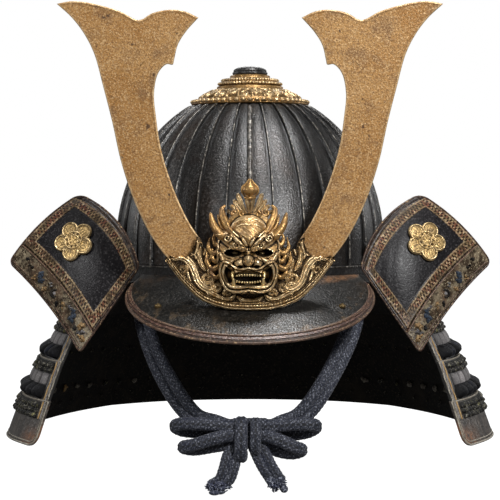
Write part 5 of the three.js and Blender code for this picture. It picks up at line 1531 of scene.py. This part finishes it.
def lame_mesh(k):
    """Lame k with its rims and edge lacing; the last one has round lower corners and a double rim."""
    tall, last = lame_height(k), k == LAST_LAME
    long, corner = 780.0, 10.0

    def lift(u):
        """How far up the foot is drawn at a round corner, as a share of the height."""
        inset = np.clip(corner - np.minimum(u, 1 - u) * long, 0, corner)
        return (corner - np.sqrt(corner ** 2 - inset ** 2)) / tall if last else 0.0

    spread = lambda u: 0.5 + 0.5 * np.sign(2 * u - 1) * (1 - (1 - np.abs(2 * u - 1)) ** 1.25) if last else u

    def face(off):
        def place(u, v):
            u = spread(u)
            streak = 0.5 + 0.5 * wobble(u * 420, seed=k)
            dirt = step(0.6, 0.9, wobble(u * 300, v * 3, seed=k + 1))
            corner_rust = last * step(0.045, 0.012, np.minimum(u, 1 - u)) * step(0.5, 0.85, v)
            # Darker along the foot of the outer face.
            worn, deep = np.maximum(0.1 * dirt, 0.8 * corner_rust), 0.5 * step(0.93, 1.0, v) * (off > 0)
            return lame_at(k, u, v * (1 - lift(u)), off + 0 * u), {"tone": streak, "worn": worn, "deep": deep}

        return place

    outer = grid(320, 14, face(GUARD_WALL / 2), toward="out")
    inner = grid(320, 14, face(-GUARD_WALL / 2), toward="out")
    bmesh.ops.reverse_faces(inner, faces=inner.faces[:])
    sheet = gather((outer, 1 if last else 0), (inner, 4))
    close_edge(sheet)
    t = np.linspace(0.002, 0.998, 160)
    parts = [sheet]

    def bar(u, down, off, radius, material, worn=0.5):
        """Adds a round bar that follows the lame."""
        made = tube(lame_at(k, u, down, off + 0 * u), radius, 8, 2.0)
        mark(made, worn=worn)
        parts.append((made, material))

    if k:
        bar(t, 0.012 + 0 * t, 0.9, 0.75, 2)
        reach = 2.0 if k == 1 else 1.3
        bar(t, 0.02 + 0 * t, -reach, reach * 0.66, 0, 0.2)
    if last:
        for inset, r in ((0.8, 0.9), (3.4, 0.55)):
            turn = np.linspace(0, math.pi / 2, 7)
            inner_corner = corner - inset
            out = [np.zeros(12), inner_corner * (1 - np.cos(turn)), np.linspace(corner, long / 2, 70)[1:]]
            low = [np.linspace(0.6, tall - corner, 12), tall - corner + inner_corner * np.sin(turn),
                   np.full(69, tall - inset)]
            out, low = np.concatenate(out) + inset, np.concatenate(low)
            u, down = np.concatenate([out, long - out[::-1][1:]]) / long, np.concatenate([low, low[::-1][1:]]) / tall
            bar(u, down, 0.9, r, 2)
    else:
        for side in (0, 1):
            s = np.linspace(0.02, 0.98, 14)
            for shift, r, material in ((0.0022, 0.9, 2), (0.0062, 1.0, 5), (0.0104, 0.9, 3)):
                bar(np.abs(side - shift) + 0.0006 * np.sin(s * 22 + shift * 900), s, 0.9, r, material, 0.3)
    if last:
        for side in (0, 1):
            s = np.linspace(0.03, 0.4, 8)
            for shift, material in ((0.0064, 5), (0.0106, 3)):
                bar(np.abs(side - shift) + 0 * s, s, 0.9, 0.95, material, 0.3)
    return gather(*parts)


def pillow_row(k, high, low, count, proud, across=8, rows=8, gap=0.08, square=0.5, seed=0, start=0.014, uneven=0.0):
    """A row of rounded pads of lacing on lame k, from high to low in height and standing proud, in millimetres.

    gap is the share of a pad's width left free, square how boxy a pad is, and uneven how much their sizes differ.
    """
    rng = np.random.default_rng(seed)
    ranges = ((0, 1), (1 - uneven, 1 + uneven * 0.6), (-uneven, uneven))
    shades, sizes, shifts = (rng.uniform(least, most, count + 1) for least, most in ranges)

    def place(u, v):
        i = np.minimum((u * count + 1e-6).astype(int), count - 1)
        s = u * count - i
        half = np.sin(math.pi * np.clip((s - gap / 2) / (1 - gap), 0, 1))
        ends = np.sin(math.pi * np.clip(v + 0.16 * shifts[i] * np.sin(math.pi * v), 0, 1))
        pad = np.clip(half, 0, 1) ** square * np.clip(ends, 0, 1) ** square
        height = mix(low, high, v)
        down = (STATIONS[k][0] - height) / lame_height(k)
        p = lame_at(k, mix(start, 1 - start, u), down, GUARD_WALL / 2 + 0.15 + proud * pad * sizes[i])
        # Painted shade in the gaps between pads and at their ends.
        return p, {"tone": shades[i], "deep": np.clip(1.05 - pad * 1.6, 0, 1)}

    return grid(count * across, rows, place, toward="out")


def knotted_row(k, loops):
    """Two rows of speckled knots at the top of lame k, and three on the last one."""
    rows = []
    for r in range(3 if k == LAST_LAME else 2):
        top = STATIONS[k][0] - 1.6 - 4.1 * r
        count = round(loops * 2.6) - 7 * r
        rows.append(pillow_row(k, top, top - 5.2, count, 3.4, across=7, rows=7, gap=0.12, square=0.6,
                               seed=20 + k * 3 + r, start=0.016, uneven=0.5))
    return gather(*rows)


def inner_knots():
    """Small knots inside the lower lames: large uneven ones near the front ends, thin ones round the back."""
    rng = np.random.default_rng(11)
    knots, places = [], 44
    s = np.linspace(0, 1, 4)
    for i in range(places):
        t = 0.045 + 0.91 * i / (places - 1)
        near_end = abs(t - 0.5) > 0.13
        for k, down in ((3, 0.27), (2, 0.2), (3, 0.62)):
            large = near_end and down == 0.27
            tint = int(rng.choice([0, 1, 2, 2])) if large else 0
            for _ in range(3 if down < 0.3 else 2):
                way, at = rng.uniform(0, math.pi), rng.uniform(-0.0022, 0.0022)
                u = t + at + 0.0036 * (s - 0.5) * math.cos(way)
                v = down + rng.uniform(-0.03, 0.03) + 0.1 * (s - 0.5) * math.sin(way)
                thick = rng.uniform(1.0, 1.7) if large else rng.uniform(0.35, 0.6)
                off = -1.4 - 0.5 * thick - np.sin(s * math.pi)
                knots.append((tube(lame_at(k, u, v, off), thick, 7, 1.2), tint))
    return gather(*knots)


class GuardSettings(bpy.types.PropertyGroup):
    loops: bpy.props.IntProperty(name="Lacing loops", description="Lacing loops along each lame", default=46, min=12,
                                 max=140)


class KABUTO_OT_guard(bpy.types.Operator):
    """Make the neck guard: four lames with their rims, lacing and inner loops"""

    bl_idname = "kabuto.guard"
    bl_label = "Neck Guard"
    bl_options = {"REGISTER", "UNDO"}

    def execute(self, context):
        loops = context.scene.kabuto_guard.loops
        finishes = [finish_of(name) for name in ("lacquer", "plain_plate", "rim", "ochre_lace", "lining",
                                                 "grey_lace")]
        for k in range(LAST_LAME + 1):
            piece(f"neck lame {k + 1}", lame_mesh(k), finishes, [f"neck_lame_{k + 1}"])
        for k in range(LAST_LAME):
            foot = STATIONS[k + 1][0] + 0.6
            pads = pillow_row(k, foot + 12, foot, loops, 8.6, across=12, rows=12, gap=0.12, square=0.62, seed=k,
                              start=0.018, uneven=0.2)
            piece(f"lacing row {k + 1}", pads, finish_of("dark_lace"), [f"lacing_row_{k + 1}"])
            columns = pillow_row(k, foot + 21, foot + 9.4, loops, 2.3, across=10, gap=0.1, square=0.4, seed=k + 10,
                                 start=0.018, uneven=0.1)
            piece(f"lacing columns {k + 1}", columns, finish_of("grey_lace"))
        for k in range(1, LAST_LAME + 1):
            piece(f"knotted row {k}", knotted_row(k, loops), finish_of("knot_lace"))
        tints = [finish_of(name) for name in ("knot_lace", "ochre_lace", "rim")]
        piece("inner lacing loops", inner_knots(), tints)
        return {"FINISHED"}


# ---- stage ----
# The camera's focal length and sensor width in millimetres, its place in metres and how far down it looks in degrees.
LENS, SENSOR, CAMERA_AT, CAMERA_DOWN = 132.2, 36, (0, -1.625, 0.055), 1.435
LIT_AT = (0, -0.05, 0.02)
# Each light's place and size in metres, and its power beside the key light's.
LIGHTS = (
    ("key", (0.74, -1.5, 0.95), 0.28, 1),
    ("fill", (-1.1, -1.1, 0.75), 0.35, 0.27),
    ("top", (0.2, -0.22, 1.45), 0.42, 0.55),
    ("left rim", (-1.2, 0.7, 0.5), 0.6, 0.1),
    ("right rim", (1.2, 0.7, 0.5), 0.6, 0.14),
    ("back", (0.0, 1.4, 0.9), 0.8, 0.25),
)
WHITE = (1, 1, 1, 1)


def seen_as(tree, value, socket):
    """Drives the socket: 1 where the camera looks straight at it, and the lower value in the light it throws."""
    seen = add(tree, "ShaderNodeLightPath").outputs["Is Camera Ray"]
    glow = add(tree, "ShaderNodeMapRange", {"Value": seen, "To Min": value, "To Max": 1.0})
    tree.links.new(glow.outputs["Result"], socket)


def pale_floor():
    """The floor's finish: dull and pale, and white to the camera."""
    pale = bpy.data.materials.new("Pale floor")
    pale.use_nodes = True
    shader = pale.node_tree.nodes["Principled BSDF"]
    values = {"Base Color": (0.16, 0.16, 0.16, 1), "Roughness": 0.95, "Specular IOR Level": 0.0,
              "Emission Color": WHITE}
    for key, value in values.items():
        shader.inputs[key].default_value = value
    seen_as(pale.node_tree, 0.05, shader.inputs["Emission Strength"])
    return pale


class StageSettings(bpy.types.PropertyGroup):
    key: bpy.props.FloatProperty(name="Key light", description="Power of the main light", default=29.0, min=0.0,
                                 max=500.0, unit="POWER")
    floor: bpy.props.FloatProperty(name="Floor height", description="Height of the floor under the helmet",
                                   default=-0.2, min=-1.0, max=0.0, unit="LENGTH")


class KABUTO_OT_stage(bpy.types.Operator):
    """Set up the camera, the soft studio light and the pale floor"""

    bl_idname = "kabuto.stage"
    bl_label = "Camera, Light and Floor"
    bl_options = {"REGISTER", "UNDO"}

    def execute(self, context):
        scene = context.scene
        s = scene.kabuto_stage
        lens = bpy.data.cameras.new("camera")
        lens.lens, lens.sensor_width, lens.clip_end = LENS, SENSOR, 50
        camera = bpy.data.objects.new("camera", lens)
        camera.location = CAMERA_AT
        camera.rotation_euler = (math.radians(90 - CAMERA_DOWN), 0, 0)
        scene.collection.objects.link(camera)
        scene.camera = camera

        world = bpy.data.worlds.new("studio")
        world.use_nodes = True
        background = world.node_tree.nodes["Background"]
        background.inputs["Color"].default_value = WHITE
        seen_as(world.node_tree, 0.07, background.inputs["Strength"])
        scene.world = world

        for name, place, size, share in LIGHTS:
            light = bpy.data.lights.new(name, "AREA")
            light.shape, light.size, light.energy = "DISK", size, s.key * share
            obj = bpy.data.objects.new(name, light)
            obj.location = place
            obj.rotation_euler = (Vector(place) - Vector(LIT_AT)).to_track_quat("Z", "Y").to_euler()
            scene.collection.objects.link(obj)

        bm = blank()
        floor_at = Matrix.Translation((0, 0, s.floor))
        bmesh.ops.create_grid(bm, x_segments=2, y_segments=2, size=6.0, matrix=floor_at)
        mesh = bpy.data.meshes.new("floor")
        bm.to_mesh(mesh)
        bm.free()
        mesh.materials.append(pale_floor())
        floor = bpy.data.objects.new("floor", mesh)
        scene.collection.objects.link(floor)
        scene.view_settings.view_transform = "Standard"
        return {"FINISHED"}


class KABUTO_PT_panel(bpy.types.Panel):
    """Panel with the sizes and one button a piece"""

    bl_idname = "KABUTO_PT_panel"
    bl_label = "Kabuto Helmet"
    bl_space_type = "VIEW_3D"
    bl_region_type = "UI"
    bl_category = "Kabuto"

    def draw(self, context):
        for name, settings, operator in PARTS:
            box = self.layout.box()
            box.operator(operator)
            group = getattr(context.scene, "kabuto_" + name)
            for key in settings.__annotations__:
                box.prop(group, key)


PARTS = [
    ("stage", StageSettings, "kabuto.stage"),
    ("cord", CordSettings, "kabuto.cord"),
    ("bowl", BowlSettings, "kabuto.bowl"),
    ("crown", CrownSettings, "kabuto.crown"),
    ("brim", BrimSettings, "kabuto.brim"),
    ("crest", CrestSettings, "kabuto.crest"),
    ("horns", HornSettings, "kabuto.horns"),
    ("turnbacks", TurnbackSettings, "kabuto.turnbacks"),
    ("guard", GuardSettings, "kabuto.guard"),
]
CLASSES = [settings for _, settings, _ in PARTS] + [KABUTO_OT_stage, KABUTO_OT_cord, KABUTO_OT_bowl, KABUTO_OT_crown,
                                                    KABUTO_OT_brim, KABUTO_OT_crest, KABUTO_OT_horns,
                                                    KABUTO_OT_turnbacks, KABUTO_OT_guard, KABUTO_PT_panel]


def register():
    """Registers every class and gives the scene a group of settings for each part."""
    for cls in CLASSES:
        bpy.utils.register_class(cls)
    for name, settings, _ in PARTS:
        setattr(bpy.types.Scene, "kabuto_" + name, bpy.props.PointerProperty(type=settings))


def unregister():
    """Takes them away again."""
    for name, _, _ in PARTS:
        delattr(bpy.types.Scene, "kabuto_" + name)
    for cls in reversed(CLASSES):
        bpy.utils.unregister_class(cls)


def main():
    """Makes everything in order."""
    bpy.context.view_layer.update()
    register()
    bpy.ops.kabuto.stage()
    bpy.ops.kabuto.cord()
    bpy.ops.kabuto.bowl()
    bpy.ops.kabuto.crown()
    bpy.ops.kabuto.brim()
    bpy.ops.kabuto.crest()
    bpy.ops.kabuto.horns()
    bpy.ops.kabuto.turnbacks()
    bpy.ops.kabuto.guard()


if __name__ == "__main__":
    main()
